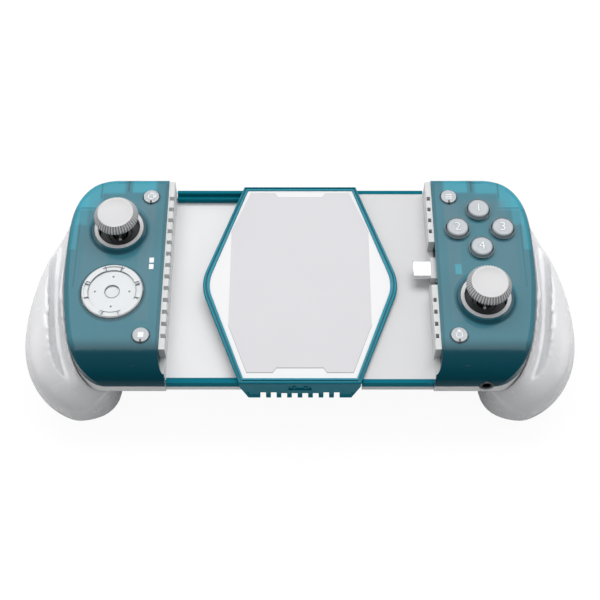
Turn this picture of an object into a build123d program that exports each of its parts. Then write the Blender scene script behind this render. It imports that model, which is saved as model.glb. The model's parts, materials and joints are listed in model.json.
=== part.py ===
"""Telescopic game controller that clamps a telephone between two control halves.

Millimetres, +Z up, +X towards the half with the USB plug, -Y towards the player. The origin is the middle
of the rest plate's upper face. Both halves are drawn on the +X side, and the left one is then mirrored.
"""
import os
from math import cos, pi, sin, tan, radians, hypot
from build123d import *

# Telephone slot and rest plate
slot_length = 107.2
face_height = 7.6
plate_thickness = 0.7
plate_flange_thickness = 0.55
plate_flange_width = 1.2
pad_film_thickness = 0.25
panel_end_half = 21.4
panel_side_half = 29.2
panel_back = 44.2
panel_back_knee = 24.4
panel_front = 43.0
panel_front_knee = 21.5
panel_notch_half = 10.8
panel_notch_depth = 2.1
panel_notch_slope = 1.4
overrun = 1.0
panel_gap = 0.1

# Half shells in plan
pad_width = 2.6
shell_width = 41.2
shell_length = 94.8
shell_forward = 0.8
shell_wall = 2.0
split_drop = 1.5
face_edge_radius = 2.6
roll_length = 14.5
wrap_length = 12.0
side_curve_shares = [(0.517, 1.0), (0.762, 0.973), (0.908, 0.899), (0.995, 0.688),
                     (0.985, 0.456), (0.922, 0.245), (0.786, 0.078), (0.505, 0.0)]

# Back shell side profile, as heights below the split and places along the length
front_depth = 5.0
knee_depth = 10.0
belly_depth = 13.5
pod_depth = 20.6
rear_depth = 13.0
knee_run = 9.0
belly_run = 46.0
pod_run = 76.0
pod_flat = 7.0
back_edge_radius = 2.4

# Telescopic trays
rail_width = 1.4
ledge_width = 1.8
rail_top_drop = 1.5
rail_skirt = 3.5
tongue_drop = 1.7
floor_thickness = 1.4
channel_drop = 6.2
slide_clearance = 0.3
tray_inner_end = 22.0
tray_root = 60.0
travel = 34.0
rack_spare = 2.5

# Bridge
hexagon_end_half = 24.2
hexagon_side_half = 41.6
hexagon_corner_radius = 20.0
hexagon_side_forward = 2.0
bridge_half_length = 47.6
bridge_wall = 0.9
ring_side_width = 3.0
ring_front_width = 2.2
ring_back_width = 2.2
ring_rise = 0.4
ring_chamfer = 0.6
ring_groove_width = 0.7
ring_groove_depth = 0.5
hump_depth = 13.0
hump_floor = 2.0
hump_taper = 3.4
taper_start_drop = 2.9
foot_length = 4.6
foot_thickness = 2.4
groove_count = 8
groove_pitch = 4.25
groove_width = 2.35
groove_depth = 0.8
notch_length = 3.0
notch_rise = 3.9
notch_extra_rise = 1.2
front_recess_width = 9.2
front_recess_height = 3.9
front_recess_depth = 0.6
front_recess_drop = 4.2
front_stud_radius = 0.6
front_stud_spacing = 4.6
bridge_screw_x = 18.6
bridge_screw_radius = 0.8
bridge_screw_head = 1.5
bridge_screw_head_height = 0.9

# Rack and pinion
gear_module = 0.8
pinion_teeth = 12
gear_thickness = 2.3
gear_backlash = 0.26
addendum_share = 0.9
dedendum_share = 1.15
flank_angle = 20.0
tooth_shares = (1.55, 1.0, 0.45)
rack_width = 2.2
rack_start = 5.0
post_radius = 1.5
post_shoulder_radius = 2.0
post_base_radius = 3.6
post_base_thickness = 0.6
running_clearance = 0.05

# Return springs
spring_row = 9.0
spring_radius = 0.85
spring_wire = 0.3
spring_coils = 11
spring_hook_x = 5.0
spring_anchor_x = 24.0
spring_lug_thickness = 1.4
spring_lug_width = 2.6

# Sticks
left_stick_inset = 19.5
left_stick_y = 20.5
right_stick_inset = 19.0
right_stick_y = -12.6
stick_pivot_z = 3.0
cap_radius = 9.1
cap_base_z = 15.6
cap_height = 4.6
cap_crown_radius = 6.95
cap_crown_height = 0.8
cap_crown_chamfer = 0.3
cap_dish_radius = 6.2
cap_dish_depth = 0.7
cap_rib_shares = (0.9, 1.0, 1.0, 0.74)
cap_rib_levels = (0.0, 1.2, 2.2, 4.3)
knurl_count = 46
knurl_depth = 0.35
ring_outer_radius = 10.2
ring_inner_radius = 8.75
ring_lip_rise = 1.1
collar_top_radius = 11.4
collar_base_radius = 12.9
collar_rise = 0.8
hole_gap = 0.15
stem_radius = 2.7
spigot_radius = 2.0
spigot_reach = 1.2
neck_radius = 4.5
neck_height = 3.4
ball_radius = 2.3
gimbal_pin_radius = 0.8
yoke_outer_radius = 4.6
yoke_inner_radius = 3.4
yoke_half_height = 1.1
carriage_half_width = 6.5
carriage_half_height = 1.6
carriage_bore_radius = 5.0
carriage_clearance = 0.25
housing_half_width = 8.0
housing_base = 0.6
housing_cover = 0.5

# Direction disc
dpad_inset = 20.1
dpad_y = -9.9
dpad_radius = 12.45
dpad_gap = 0.35
dpad_rise = 0.9
dpad_dish_radius = 9.8
dpad_dish_depth = 0.8
dimple_radius = 3.0
dimple_depth = 0.5
lobe_radius = 4.4
lobe_reach = 10.9
lobe_depth = 0.5
dpad_flange_radius = 13.7
dpad_flange_z = 4.2
dpad_flange_thickness = 0.6
dpad_pivot_z = 2.6
dpad_stem_radius = 2.0
dpad_pin_radius = 0.7
rocker_outer_radius = 5.0
rocker_inner_radius = 3.4
rocker_half_height = 0.8
cradle_radius = 6.7
cradle_base = 1.1
cradle_ear_inner = 5.5
cradle_ear_half_width = 1.6
cradle_ear_top = 3.5
dpad_switch_radius = 8.5

# Buttons
face_button_inset = 19.1
face_button_y = 20.2
face_button_spacing = 9.45
face_button_radius = 4.4
face_button_gap = 0.35
face_button_rise = 2.4
face_button_dome = 0.7
face_button_travel = 0.7
small_button_inset = 7.1
small_button_back_y = 36.8
small_button_front_y = -30.0
small_button_radius = 3.3
small_button_gap = 0.25
small_button_rise = 0.6
small_button_dome = 0.2
small_button_travel = 0.5
button_flange = 0.8
button_flange_thickness = 0.8
button_plunger_radius = 1.2
press_margin = 0.1
switch_half_width = 1.6
switch_height = 3.4

# Circuit boards
board_top_drop = 1.0
board_thickness = 1.6
board_inset = 4.6
board_back_y = 28.0
board_tab_y = 38.2
board_tab_width = 8.4
board_start = 61.5
chip_height = 1.1
chip_half_width = 1.8
chip_half_length = 3.0
chip_shares = [(0.25, 0.44), (0.62, 0.40), (0.66, 0.56)]

# Shell screws, as insets from the shell's inner edge and places along Y
shell_screw_places = [(9.8, -40.0), (29.0, -32.0), (34.0, 6.0), (33.6, 26.5)]
shell_screw_radius = 1.1
slot_width = 0.5
shell_screw_head = 2.0
shell_screw_head_height = 1.4
front_boss_radius = 2.8
back_boss_radius = 3.4
boss_drop = 1.3
screw_seat_drop = 5.5
screw_clearance = 0.2
thread_clearance = 0.05
thread_length = 5.0

# Shoulder controls
shoulder_start_inset = 5.8
shoulder_width = 27.0
bumper_reach = 2.3
bumper_end_reach = 0.7
bumper_tip_width = 3.9
bumper_depth = 8.0
bumper_low_drop = 1.2
bumper_high = 3.9
bumper_gap = 0.3
bumper_radius = 1.6
bumper_pin_inset = 4.0
trigger_pivot_y = 33.5
trigger_pivot_drop = 6.6
trigger_boss_radius = 2.6
trigger_top_drop = 3.2
trigger_reach = 49.0
trigger_tip_drop = 18.6
trigger_wall = 3.2
trigger_crown = 4.2
trigger_web = 4.8
trigger_gap = 0.4
shoulder_pin_radius = 1.0
ear_thickness = 1.6

# USB plug
plug_y = 3.05
plug_z = 3.2
plug_length = 6.9
plug_width = 8.34
plug_height = 2.56
plug_corner = 1.2
plug_wall = 0.3
plug_pivot_inset = 1.8
holder_half_width = 5.0
holder_half_height = 1.8
holder_pivot_radius = 2.2
holder_start = 0.4
plug_pin_radius = 1.0
recess_low = -6.4
recess_high = 14.4
plug_ear_thickness = 1.2

# Audio jack
jack_inset = 17.8
jack_hole_radius = 3.0
jack_barrel_radius = 2.85
jack_bore_radius = 1.8
jack_bore_length = 14.0
jack_body_half_width = 3.4
jack_body_half_height = 2.9
jack_lip = 0.4
jack_body_setback = 1.7

# Phone pads
pad_drop = 0.4
pad_end_gap = 1.6
strip_setback = 0.5
notch_count = 13
notch_step = 5.53
notch_first_y = 36.25
notch_width = 1.9
notch_depth = 3.6
left_notch_reach = 2.0
right_notch_reach = 1.4
right_notch_inset = 0.4

# Indicator windows
window_inset = 5.0
window_y = 3.6
window_step = 3.1
window_width = 2.0
window_length = 2.5

# Grips: stations along Y with the side, level, crest and base of each section
grip_gap = 0.25
grip_wall = 2.4
grip_roof_share = 3.6
grip_hollow_ends = (1, 6)
grip_top_share = 0.66
grip_base_share = 0.42
grip_foot_share = 0.12
grip_foot_tangent = (-1, 0.5)
grip_stations = [30.0, 19.0, 6.0, -9.0, -24.0, -37.0, -46.0, -51.0, -54.2]
grip_out = [98.3, 102.9, 107.8, 111.5, 112.8, 110.8, 105.6, 99.4, 93.6]
grip_level = [-0.6, -2.6, -4.4, -6.2, -8.2, -10.8, -13.6, -15.4, -16.6]
grip_crest = [2.4, 2.9, 3.0, 2.4, 0.8, -2.2, -6.2, -10.0, -13.6]
grip_base = [-6.0, -13.0, -19.0, -24.0, -28.2, -30.4, -29.6, -26.6, -21.4]
grip_in = [88.0, 86.0, 83.0, 79.0, 75.5, 74.0, 76.5, 81.5, 87.6]
valley_offset = 4.3
valley_radius = 3.1
valley_rise = 1.7
valley_fall = 5.2

# Sizes that follow from these
pad_x = slot_length / 2
inner_x = pad_x + pad_width
outer_x = inner_x + shell_width
back_y = shell_length / 2 - shell_forward
front_y = back_y - shell_length
split_z = -split_drop
face_z = face_height
ceiling_z = face_z - shell_wall
board_top = -board_top_drop
board_base = board_top - board_thickness
rail_top = -rail_top_drop
tongue_top = -tongue_drop
tongue_base = tongue_top - floor_thickness
channel_top = -channel_drop
tray_base = channel_top - floor_thickness
ledge_top = tongue_base - slide_clearance
tray_half_width = bridge_half_length - bridge_wall - panel_gap
rail_inner = tray_half_width - rail_width
channel_half_width = rail_inner - ledge_width
tongue_half_width = rail_inner - slide_clearance
right_box_start = hexagon_end_half + 2 * slide_clearance
ring_top = ring_rise
hump_rim = tray_base - slide_clearance
hump_base = -hump_depth
hump_inside = hump_base + hump_floor
pitch_radius = gear_module * pinion_teeth / 2
rack_end = travel + rack_spare
rack_root_y = -pitch_radius - gear_module * dedendum_share
rack_pitch = pi * gear_module
gear_low = channel_top + (tongue_base - channel_top - gear_thickness) / 2
gear_high = gear_low + gear_thickness
left_stick_x = inner_x + left_stick_inset
right_stick_x = inner_x + right_stick_inset
dpad_x = inner_x + dpad_inset
face_button_x = inner_x + face_button_inset
small_button_x = inner_x + small_button_inset
shoulder_x0 = inner_x + shoulder_start_inset
shoulder_x1 = shoulder_x0 + shoulder_width
trigger_pivot_z = -trigger_pivot_drop
plug_pivot_x = inner_x + plug_pivot_inset
jack_x = inner_x + jack_inset
switch_top = board_top + switch_height


def block(xs, ys, zs):
    """Box between two limits along each axis."""
    size = [high - low for low, high in (xs, ys, zs)]
    middle = [(high + low) / 2 for low, high in (xs, ys, zs)]
    return Pos(*middle) * Box(*size)


def disc(x, y, z0, z1, radius):
    """Upright cylinder between two heights."""
    return Pos(x, y, (z0 + z1) / 2) * Cylinder(radius, z1 - z0)


def rod_x(x0, x1, y, z, radius):
    """Cylinder along X."""
    return Pos((x0 + x1) / 2, y, z) * Rot(0, 90, 0) * Cylinder(radius, x1 - x0)


def rod_y(x, y0, y1, z, radius):
    """Cylinder along Y."""
    return Pos(x, (y0 + y1) / 2, z) * Rot(90, 0, 0) * Cylinder(radius, y1 - y0)


def flat(points, low, high):
    """Polygon in plan, raised between two heights."""
    face = make_face(Polyline(*points, close=True))
    return Pos(0, 0, low) * extrude(face, high - low, dir=(0, 0, 1))


def section_yz(face, x0, x1):
    """Face drawn as (Y, Z) in the XY plane, stood up and run along X."""
    solid = extrude(face, x1 - x0, dir=(0, 0, 1))
    return Pos(x0, 0, 0) * Plane.YZ.location * solid


def left(shape):
    """The same piece on the left half."""
    return mirror(shape, Plane.YZ)


def side_curve(inset):
    """Points of the half's outer side in plan, moved inwards square to the curve."""
    points = [(inner_x + u * shell_width, front_y + v * shell_length) for u, v in side_curve_shares]
    last = len(points) - 1
    moved = []
    for i, (x, y) in enumerate(points):
        ax, ay = points[max(i - 1, 0)]
        bx, by = points[min(i + 1, last)]
        if i == 0 or i == last:
            by = ay
        run = hypot(bx - ax, by - ay)
        moved.append((x + inset * (by - ay) / run, y - inset * (bx - ax) / run))
    return moved


def half_plan(inset, inner_inset, wrapped):
    """Plan of a half: straight inner edge, curved outer side, rounded corners."""
    curve = side_curve(inset)
    edge_x = inner_x + inner_inset
    back = back_y - inset
    front = front_y + inset
    outline = Line((edge_x, back), curve[0])
    outline += Spline(*curve, tangents=[(1, 0), (-1, 0)], tangent_scalars=[1, 1])
    if wrapped:
        wrap_y = front + wrap_length
        wrap_x = pad_x + inner_inset
        outline += Line(curve[-1], (wrap_x, front))
        outline += Line((wrap_x, front), (wrap_x, front + pad_width))
        outline += EllipticalCenterArc((wrap_x, wrap_y), pad_width, wrap_length - pad_width,
                                       start_angle=270, arc_size=90)
        outline += Line((edge_x, wrap_y), (edge_x, back))
    else:
        outline += Line(curve[-1], (edge_x, front))
        outline += Line((edge_x, front), (edge_x, back))
    return make_face(outline)


def raised(face, low, high):
    """Plan face raised between two heights."""
    return Pos(0, 0, low) * extrude(face, high - low, dir=(0, 0, 1))


def front_profile(inset, low):
    """Side view of the front shell: flat face that rolls down towards the player."""
    top = face_z - inset
    front = front_y + inset
    drop = top - split_z
    roll_start = front + roll_length - inset
    outline = Line((back_y + overrun, low), (back_y + overrun, top))
    outline += Line((back_y + overrun, top), (roll_start, top))
    outline += EllipticalCenterArc((roll_start, split_z), roll_start - front, drop,
                                   start_angle=90, arc_size=90)
    outline += Line((front, split_z), (front, low))
    outline += Line((front, low), (back_y + overrun, low))
    return make_face(outline)


def back_profile(inset, high):
    """Side view of the back shell: shallow at the player's side, deep at the shoulder."""
    front = front_y + inset
    back = back_y - inset
    corners = [(front, high), (front, split_z - front_depth + inset / 2),
               (front_y + knee_run, split_z - knee_depth + inset),
               (front_y + belly_run, split_z - belly_depth + inset),
               (front_y + pod_run, split_z - pod_depth + inset),
               (front_y + pod_run + pod_flat, split_z - pod_depth + inset),
               (back, split_z - rear_depth + inset), (back, high)]
    face = make_face(Polyline(*corners, close=True))
    rounded = [v for v in face.vertices() if v.Y < split_z - front_depth / 2]
    return fillet(rounded, back_edge_radius)


def front_volume(inset, inner_inset, wrapped, low):
    """Solid inside the front shell's outer surface, moved inwards by an inset."""
    body = raised(half_plan(inset, inner_inset, wrapped), low, face_z - inset)
    if inset == 0:
        crown = body.edges().filter_by(GeomType.BSPLINE).group_by(Axis.Z)[-1]
        body = fillet(crown, face_edge_radius)
    side = section_yz(front_profile(inset, low - overrun), pad_x - overrun, outer_x + overrun)
    return body & side


def back_volume(inset, inner_inset, wrapped, high):
    """Solid inside the back shell's outer surface, moved inwards by an inset."""
    body = raised(half_plan(inset, inner_inset, wrapped), split_z - pod_depth - overrun, high)
    side = section_yz(back_profile(inset, high + overrun), pad_x - overrun, outer_x + overrun)
    return body & side


def stick_openings(x, y):
    """Raised collar and the hole for the stick's ring."""
    collar = Pos(x, y, face_z + collar_rise / 2) * Cone(collar_base_radius, collar_top_radius, collar_rise)
    hole = disc(x, y, ceiling_z - overrun, face_z + collar_rise + overrun, ring_outer_radius - hole_gap * 2)
    return collar, hole


def jack_hole():
    """Round opening for the audio socket, half in each shell."""
    return rod_y(jack_x, front_y - overrun, front_y + shell_wall + jack_body_setback, split_z,
                 jack_hole_radius)


def make_front_shell(right):
    """Teal upper casing of one half, with its holes, bosses and bumper recess."""
    shell = front_volume(0, 0, True, split_z) - front_volume(shell_wall, shell_wall, False,
                                                             split_z - overrun)
    stick_x = right_stick_x if right else left_stick_x
    stick_y = right_stick_y if right else left_stick_y
    collar, hole = stick_openings(stick_x, stick_y)
    shell = shell + collar - hole
    through = (ceiling_z - overrun, face_z + overrun)
    for inset, y in shell_screw_places:
        shell += disc(inner_x + inset, y, split_z - boss_drop, ceiling_z + panel_gap, front_boss_radius)
    for inset, y in shell_screw_places:
        pilot = shell_screw_radius + thread_clearance
        shell -= disc(inner_x + inset, y, split_z - boss_drop - overrun, split_z + thread_length, pilot)
    for y in (small_button_back_y, small_button_front_y):
        shell -= disc(small_button_x, y, *through, small_button_radius + small_button_gap)
    if right:
        for x, y in face_button_places():
            shell -= disc(x, y, *through, face_button_radius + face_button_gap)
        ear_low = plug_z - holder_pivot_radius
        for y0 in plug_ear_places():
            shell += block((inner_x + shell_wall - overrun, plug_pivot_x + holder_pivot_radius),
                           (y0, y0 + plug_ear_thickness), (ear_low, ceiling_z + panel_gap))
        first, second = plug_ear_places()
        shell -= block((pad_x, inner_x + shell_wall + panel_gap), (first + plug_ear_thickness, second),
                       (split_z - overrun, ceiling_z))
        shell -= rod_y(plug_pivot_x, first - overrun, recess_high, plug_z, plug_pin_radius)
        shell -= block((inner_x - overrun, inner_x + shell_wall / 2),
                       (recess_low - panel_gap, recess_high + panel_gap), (-panel_gap,
                                                                           ceiling_z - panel_gap))
        shell -= jack_hole()
    else:
        shell -= disc(dpad_x, dpad_y, *through, dpad_radius + dpad_gap)
        for step in (0, 1):
            shell -= window_block(step, *through, 0)
    shell -= block((shoulder_x0, shoulder_x1), (back_y - bumper_depth - bumper_gap, back_y + overrun),
                   (split_z - overrun, bumper_high + bumper_gap))
    shell -= block((pad_x - overrun, inner_x + shell_wall + overrun), (-tray_half_width - slide_clearance,
                   back_y - shell_wall), (split_z - overrun, 0))
    return shell


def make_back_shell(right):
    """Translucent lower casing of one half, with its bosses, ears and trigger opening."""
    outer = back_volume(0, 0, True, split_z)
    inside = back_volume(shell_wall, shell_wall, False, split_z + overrun)
    shell = outer - inside
    bosses = []
    for inset, y in shell_screw_places:
        bosses.append(disc(inner_x + inset, y, split_z - pod_depth, split_z - boss_drop - panel_gap,
                           back_boss_radius) & back_volume(shell_wall / 2, 0, False, split_z))
    ear_low = trigger_pivot_y - trigger_boss_radius
    ear_high = trigger_pivot_y + trigger_boss_radius
    for x0 in (shoulder_x0 - ear_thickness, shoulder_x1):
        ear = block((x0, x0 + ear_thickness), (ear_low, ear_high),
                    (split_z - pod_depth, split_z - boss_drop))
        bosses.append(ear & back_volume(shell_wall / 2, 0, False, split_z))
    for boss in bosses:
        shell += boss
    for inset, y in shell_screw_places:
        seat = split_z - screw_seat_drop
        clear = shell_screw_radius + screw_clearance
        shell -= disc(inner_x + inset, y, seat - overrun, split_z, clear)
        shell -= disc(inner_x + inset, y, split_z - pod_depth - overrun, seat,
                      shell_screw_head + screw_clearance)
    shell -= block((shoulder_x0, shoulder_x1), (trigger_pivot_y + trigger_boss_radius, back_y + overrun),
                   (split_z - pod_depth - overrun, split_z + overrun))
    shell -= rod_x(shoulder_x0 - ear_thickness - overrun, shoulder_x1 + ear_thickness + overrun,
                   trigger_pivot_y, trigger_pivot_z, shoulder_pin_radius)
    shell -= block((pad_x - overrun, inner_x + shell_wall + overrun), (-tray_half_width - slide_clearance,
                   back_y - shell_wall), (tray_base - slide_clearance, split_z + overrun))
    if right:
        shell -= jack_hole()
    return shell


def make_screws(places, seat, shank_top, head_radius, head_height, radius):
    """Set of screws with their heads down."""
    screws = []
    for x, y in places:
        head = disc(x, y, seat - head_height, seat, head_radius)
        slot = block((x - head_radius, x + head_radius), (y - slot_width / 2, y + slot_width / 2),
                     (seat - head_height - overrun, seat - head_height / 2))
        shank = disc(x, y, seat - head_height / 2, shank_top, radius)
        screws.append(head - slot + shank)
    return screws


def make_shell_screws():
    """Four screws of a half."""
    places = [(inner_x + inset, y) for inset, y in shell_screw_places]
    seat = split_z - screw_seat_drop
    top = split_z + thread_length - panel_gap
    return make_screws(places, seat, top, shell_screw_head, shell_screw_head_height, shell_screw_radius)


def make_left_tray():
    """White channel pan of the left half, drawn on the +X side."""
    ends = (-tray_inner_end, tray_root)
    pan = block(ends, (-tray_half_width, tray_half_width), (tray_base, rail_top - rail_skirt))
    pan -= block((-tray_inner_end - overrun, tray_root + overrun), (-rail_inner, rail_inner),
                 (channel_top, rail_top))
    slot = post_shoulder_radius + slide_clearance
    pan -= block((-tray_inner_end - overrun, 0), (-slot, slot), (tray_base - overrun, channel_top + overrun))
    pan -= disc(0, 0, tray_base - overrun, channel_top + overrun, slot)
    pan -= root_notch()
    for y in (-spring_row, spring_row):
        pan += block((-spring_hook_x, spring_lug_thickness - spring_hook_x),
                     (y - spring_lug_width / 2, y + spring_lug_width / 2),
                     (spring_z() - spring_radius, tray_base + panel_gap))
    return pan


def root_notch():
    """Corner taken off a tray's root, clear of the shell's rear wall."""
    xs = (inner_x - panel_gap, tray_root + overrun)
    zs = (tray_base - overrun, rail_top + overrun)
    back = block(xs, (back_y - shell_wall - slide_clearance, tray_half_width + overrun), zs)
    return back + block(xs, (-tray_half_width - overrun, overrun - channel_half_width), zs)


def make_left_rails():
    """Teal rails of the left half: outer lip with the inner ledge that carries the tongue."""
    end = pad_x - panel_gap
    rails = []
    for sign in (-1, 1):
        lip = sorted((sign * rail_inner, sign * tray_half_width))
        ledge = sorted((sign * channel_half_width, sign * rail_inner))
        rail = block((-tray_inner_end, end), lip, (rail_top - rail_skirt, rail_top))
        rail += block((-tray_inner_end, end), ledge, (channel_top, ledge_top))
        inside = block((-tray_inner_end, end), sorted((sign * (rail_inner - panel_gap), sign * rail_inner)),
                       (channel_top, ledge_top))
        rails.append(rail + inside)
    return rails


def make_right_tray():
    """White box tray of the right half with the tongue that slides in the left channel."""
    tongue = block((-tray_inner_end, tray_root), (-tongue_half_width, tongue_half_width),
                   (tongue_base, tongue_top))
    box_ends = (right_box_start, tray_root)
    base = block(box_ends, (-tray_half_width, tray_half_width), (tray_base, channel_top))
    tray = tongue + base
    for sign in (-1, 1):
        web = sorted((sign * channel_half_width, sign * tongue_half_width))
        tray += block(box_ends, web, (channel_top - panel_gap, tongue_base + panel_gap))
        skirt = sorted((sign * tongue_half_width, sign * tray_half_width))
        tray += block(box_ends, skirt, (tray_base, rail_top - rail_skirt))
    return tray - root_notch()


def make_right_rails():
    """Teal rails of the right half."""
    rails = []
    for sign in (-1, 1):
        lip = sorted((sign * tongue_half_width, sign * tray_half_width))
        rails.append(block((right_box_start, pad_x - panel_gap), lip, (rail_top - rail_skirt, rail_top)))
    return rails


def make_rack():
    """Toothed bar whose teeth reach towards +Y, drawn for the left half on the +X side."""
    half_tooth = rack_pitch / 4 - gear_backlash / 2
    addendum = gear_module * addendum_share
    lean = gear_module * (addendum_share + dedendum_share) * tan(radians(flank_angle)) / 2
    root_y = rack_root_y
    bar = block((-rack_end, rack_start), (root_y - rack_width, root_y), (gear_low, gear_high))
    tooth_total = int((rack_start + rack_end) / rack_pitch)
    teeth = []
    first = rack_pitch / 2 + rack_pitch * int(rack_start / rack_pitch - 1)
    for i in range(tooth_total):
        x = first - i * rack_pitch
        if x - half_tooth - lean > -rack_end:
            foot, tip = half_tooth + lean, half_tooth - lean
            low_y, tip_y = root_y - panel_gap, addendum - pitch_radius
            corners = [(x - foot, low_y), (x + foot, low_y), (x + tip, tip_y), (x - tip, tip_y)]
            teeth.append(flat(corners, gear_low, gear_high))
    return bar + teeth


def make_left_rack():
    """Rack that stands on the channel's floor."""
    foot = block((-tray_inner_end, rack_start), rack_body_span(), (channel_top, gear_low + panel_gap))
    return make_rack() + foot


def make_right_rack():
    """Rack that hangs under the tongue."""
    hanger = block((-tray_inner_end, rack_start), rack_body_span(), (gear_high - panel_gap, tongue_base))
    return mirror(make_rack() + hanger, Plane.XZ)


def rack_body_span():
    """Low and high Y of a rack's plain bar."""
    return (rack_root_y - rack_width, rack_root_y)


def make_pinion():
    """Twelve-toothed gear between the two racks."""
    radii = (pitch_radius - gear_module * dedendum_share, pitch_radius,
             pitch_radius + gear_module * addendum_share)
    half = pi / pinion_teeth / 2 - gear_backlash / 2 / pitch_radius
    points = []
    for i in range(pinion_teeth):
        middle = 2 * pi * i / pinion_teeth
        rising = [(radius, middle - share * half) for radius, share in zip(radii, tooth_shares)]
        falling = [(radius, 2 * middle - angle) for radius, angle in reversed(rising)]
        points += [(radius * cos(angle), radius * sin(angle)) for radius, angle in rising + falling]
    gear = flat(points, gear_low, gear_high)
    return gear - disc(0, 0, gear_low - overrun, gear_high + overrun, post_radius + running_clearance)


def spring_z():
    """Height of the return springs' axis, in the back cover's hollow."""
    return (hump_inside + hump_rim) / 2


def make_springs():
    """Pair of extension springs as helices with straight ends."""
    length = spring_anchor_x - spring_hook_x
    coil_radius = spring_radius - spring_wire
    lead = spring_wire + panel_gap
    pitch = (length - 2 * lead) / spring_coils
    springs = []
    for y in (-spring_row, spring_row):
        helix = Helix(pitch, length - 2 * lead, coil_radius)
        profile = Plane(helix @ 0, z_dir=helix % 0) * Circle(spring_wire)
        coil = sweep(profile, path=helix)
        placed = Pos(spring_hook_x + lead, y, spring_z()) * Rot(0, 90, 0) * coil
        springs.append(placed)
    return springs


def hexagon(end_half, side_half, back, front):
    """The bridge's plan: a hexagon whose two side corners are round."""
    side_y = -hexagon_side_forward
    corners = [(-end_half, back), (end_half, back), (side_half, side_y), (end_half, -front),
               (-end_half, -front), (-side_half, side_y)]
    face = make_face(Polyline(*corners, close=True))
    tips = face.vertices().group_by(Axis.X)
    return fillet([*tips[0], *tips[-1]], hexagon_corner_radius - hexagon_side_half + side_half)


def make_bridge_frame():
    """Teal ring with a grooved top, end walls and the feet that hold the back cover."""
    length = bridge_half_length
    ring = raised(hexagon(hexagon_end_half, hexagon_side_half, length, length), -plate_thickness, ring_top)
    ring = chamfer(ring.faces().sort_by(Axis.Z)[-1].edges(), ring_chamfer)
    opening = hexagon(hexagon_end_half - ring_side_width / 2, hexagon_side_half - ring_side_width,
                      length - ring_back_width, length - ring_front_width)
    ring -= raised(opening, -plate_thickness - overrun, ring_top + overrun)
    middle = (hexagon_end_half - ring_side_width / 4, hexagon_side_half - ring_side_width / 2,
              length - ring_back_width / 2, length - ring_front_width / 2)
    wider, thinner = (hexagon(*(size + reach for size in middle))
                      for reach in (ring_groove_width / 2, -ring_groove_width / 2))
    groove = raised(wider, ring_top - ring_groove_depth, ring_top + overrun)
    groove -= raised(thinner, ring_top - ring_groove_depth - overrun, ring_top + 2 * overrun)
    ring -= groove
    share = (-hump_rim - taper_start_drop) / (hump_depth - taper_start_drop)
    rim_half = hexagon_end_half - hump_taper * share
    foot_half = hexagon_end_half - hump_taper - 2 * panel_gap
    for sign in (-1, 1):
        wall_shape = [(-hexagon_end_half, -plate_thickness), (-hexagon_end_half, -taper_start_drop),
                      (-rim_half, hump_rim), (rim_half, hump_rim), (hexagon_end_half, -taper_start_drop),
                      (hexagon_end_half, -plate_thickness)]
        wall_face = make_face(Polyline(*wall_shape, close=True))
        wall = extrude(Plane.XZ * wall_face, bridge_wall, dir=(0, 1, 0))
        start = length - bridge_wall if sign > 0 else -length
        ring += Pos(0, start, 0) * wall
        foot = sorted((sign * (length - foot_length), sign * (length - panel_gap)))
        ring += block((-foot_half, foot_half), foot, (hump_rim - foot_thickness, hump_rim + panel_gap))
    ring -= notches()
    for x in (-bridge_screw_x, bridge_screw_x):
        for y in bridge_screw_rows():
            ring -= disc(x, y, hump_rim - foot_thickness - overrun, hump_rim + overrun,
                         bridge_screw_radius + thread_clearance)
    recess_z = -front_recess_drop
    ring -= block((-front_recess_width / 2, front_recess_width / 2),
                  (-length - overrun, front_recess_depth - length),
                  (recess_z - front_recess_height / 2, recess_z + front_recess_height / 2))
    for x in (-front_stud_spacing / 2, front_stud_spacing / 2):
        ring += rod_y(x, -length, panel_gap + front_recess_depth - length, recess_z, front_stud_radius)
    return ring


def bridge_screw_rows():
    """Y of the two rows of screws."""
    y = bridge_half_length - foot_length / 2
    return (-y, y)


def notches():
    """Comb of open notches at both ends of the back cover."""
    cuts = []
    for i in range(groove_count):
        x = (i - (groove_count - 1) / 2) * groove_pitch
        outer = min(i, groove_count - 1 - i) < 2
        rise = notch_rise + (notch_extra_rise if outer else 0)
        for sign in (-1, 1):
            deep = sorted((sign * (bridge_half_length - notch_length),
                           sign * (bridge_half_length + overrun)))
            cuts.append(block((x - groove_width / 2, x + groove_width / 2), deep,
                              (hump_base - overrun, hump_base + notch_rise)))
            shallow = sorted((sign * (bridge_half_length - bridge_wall / 2),
                              sign * (bridge_half_length + overrun)))
            cuts.append(block((x - groove_width / 2, x + groove_width / 2), shallow,
                              (hump_base, hump_base + rise)))
    return cuts


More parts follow.
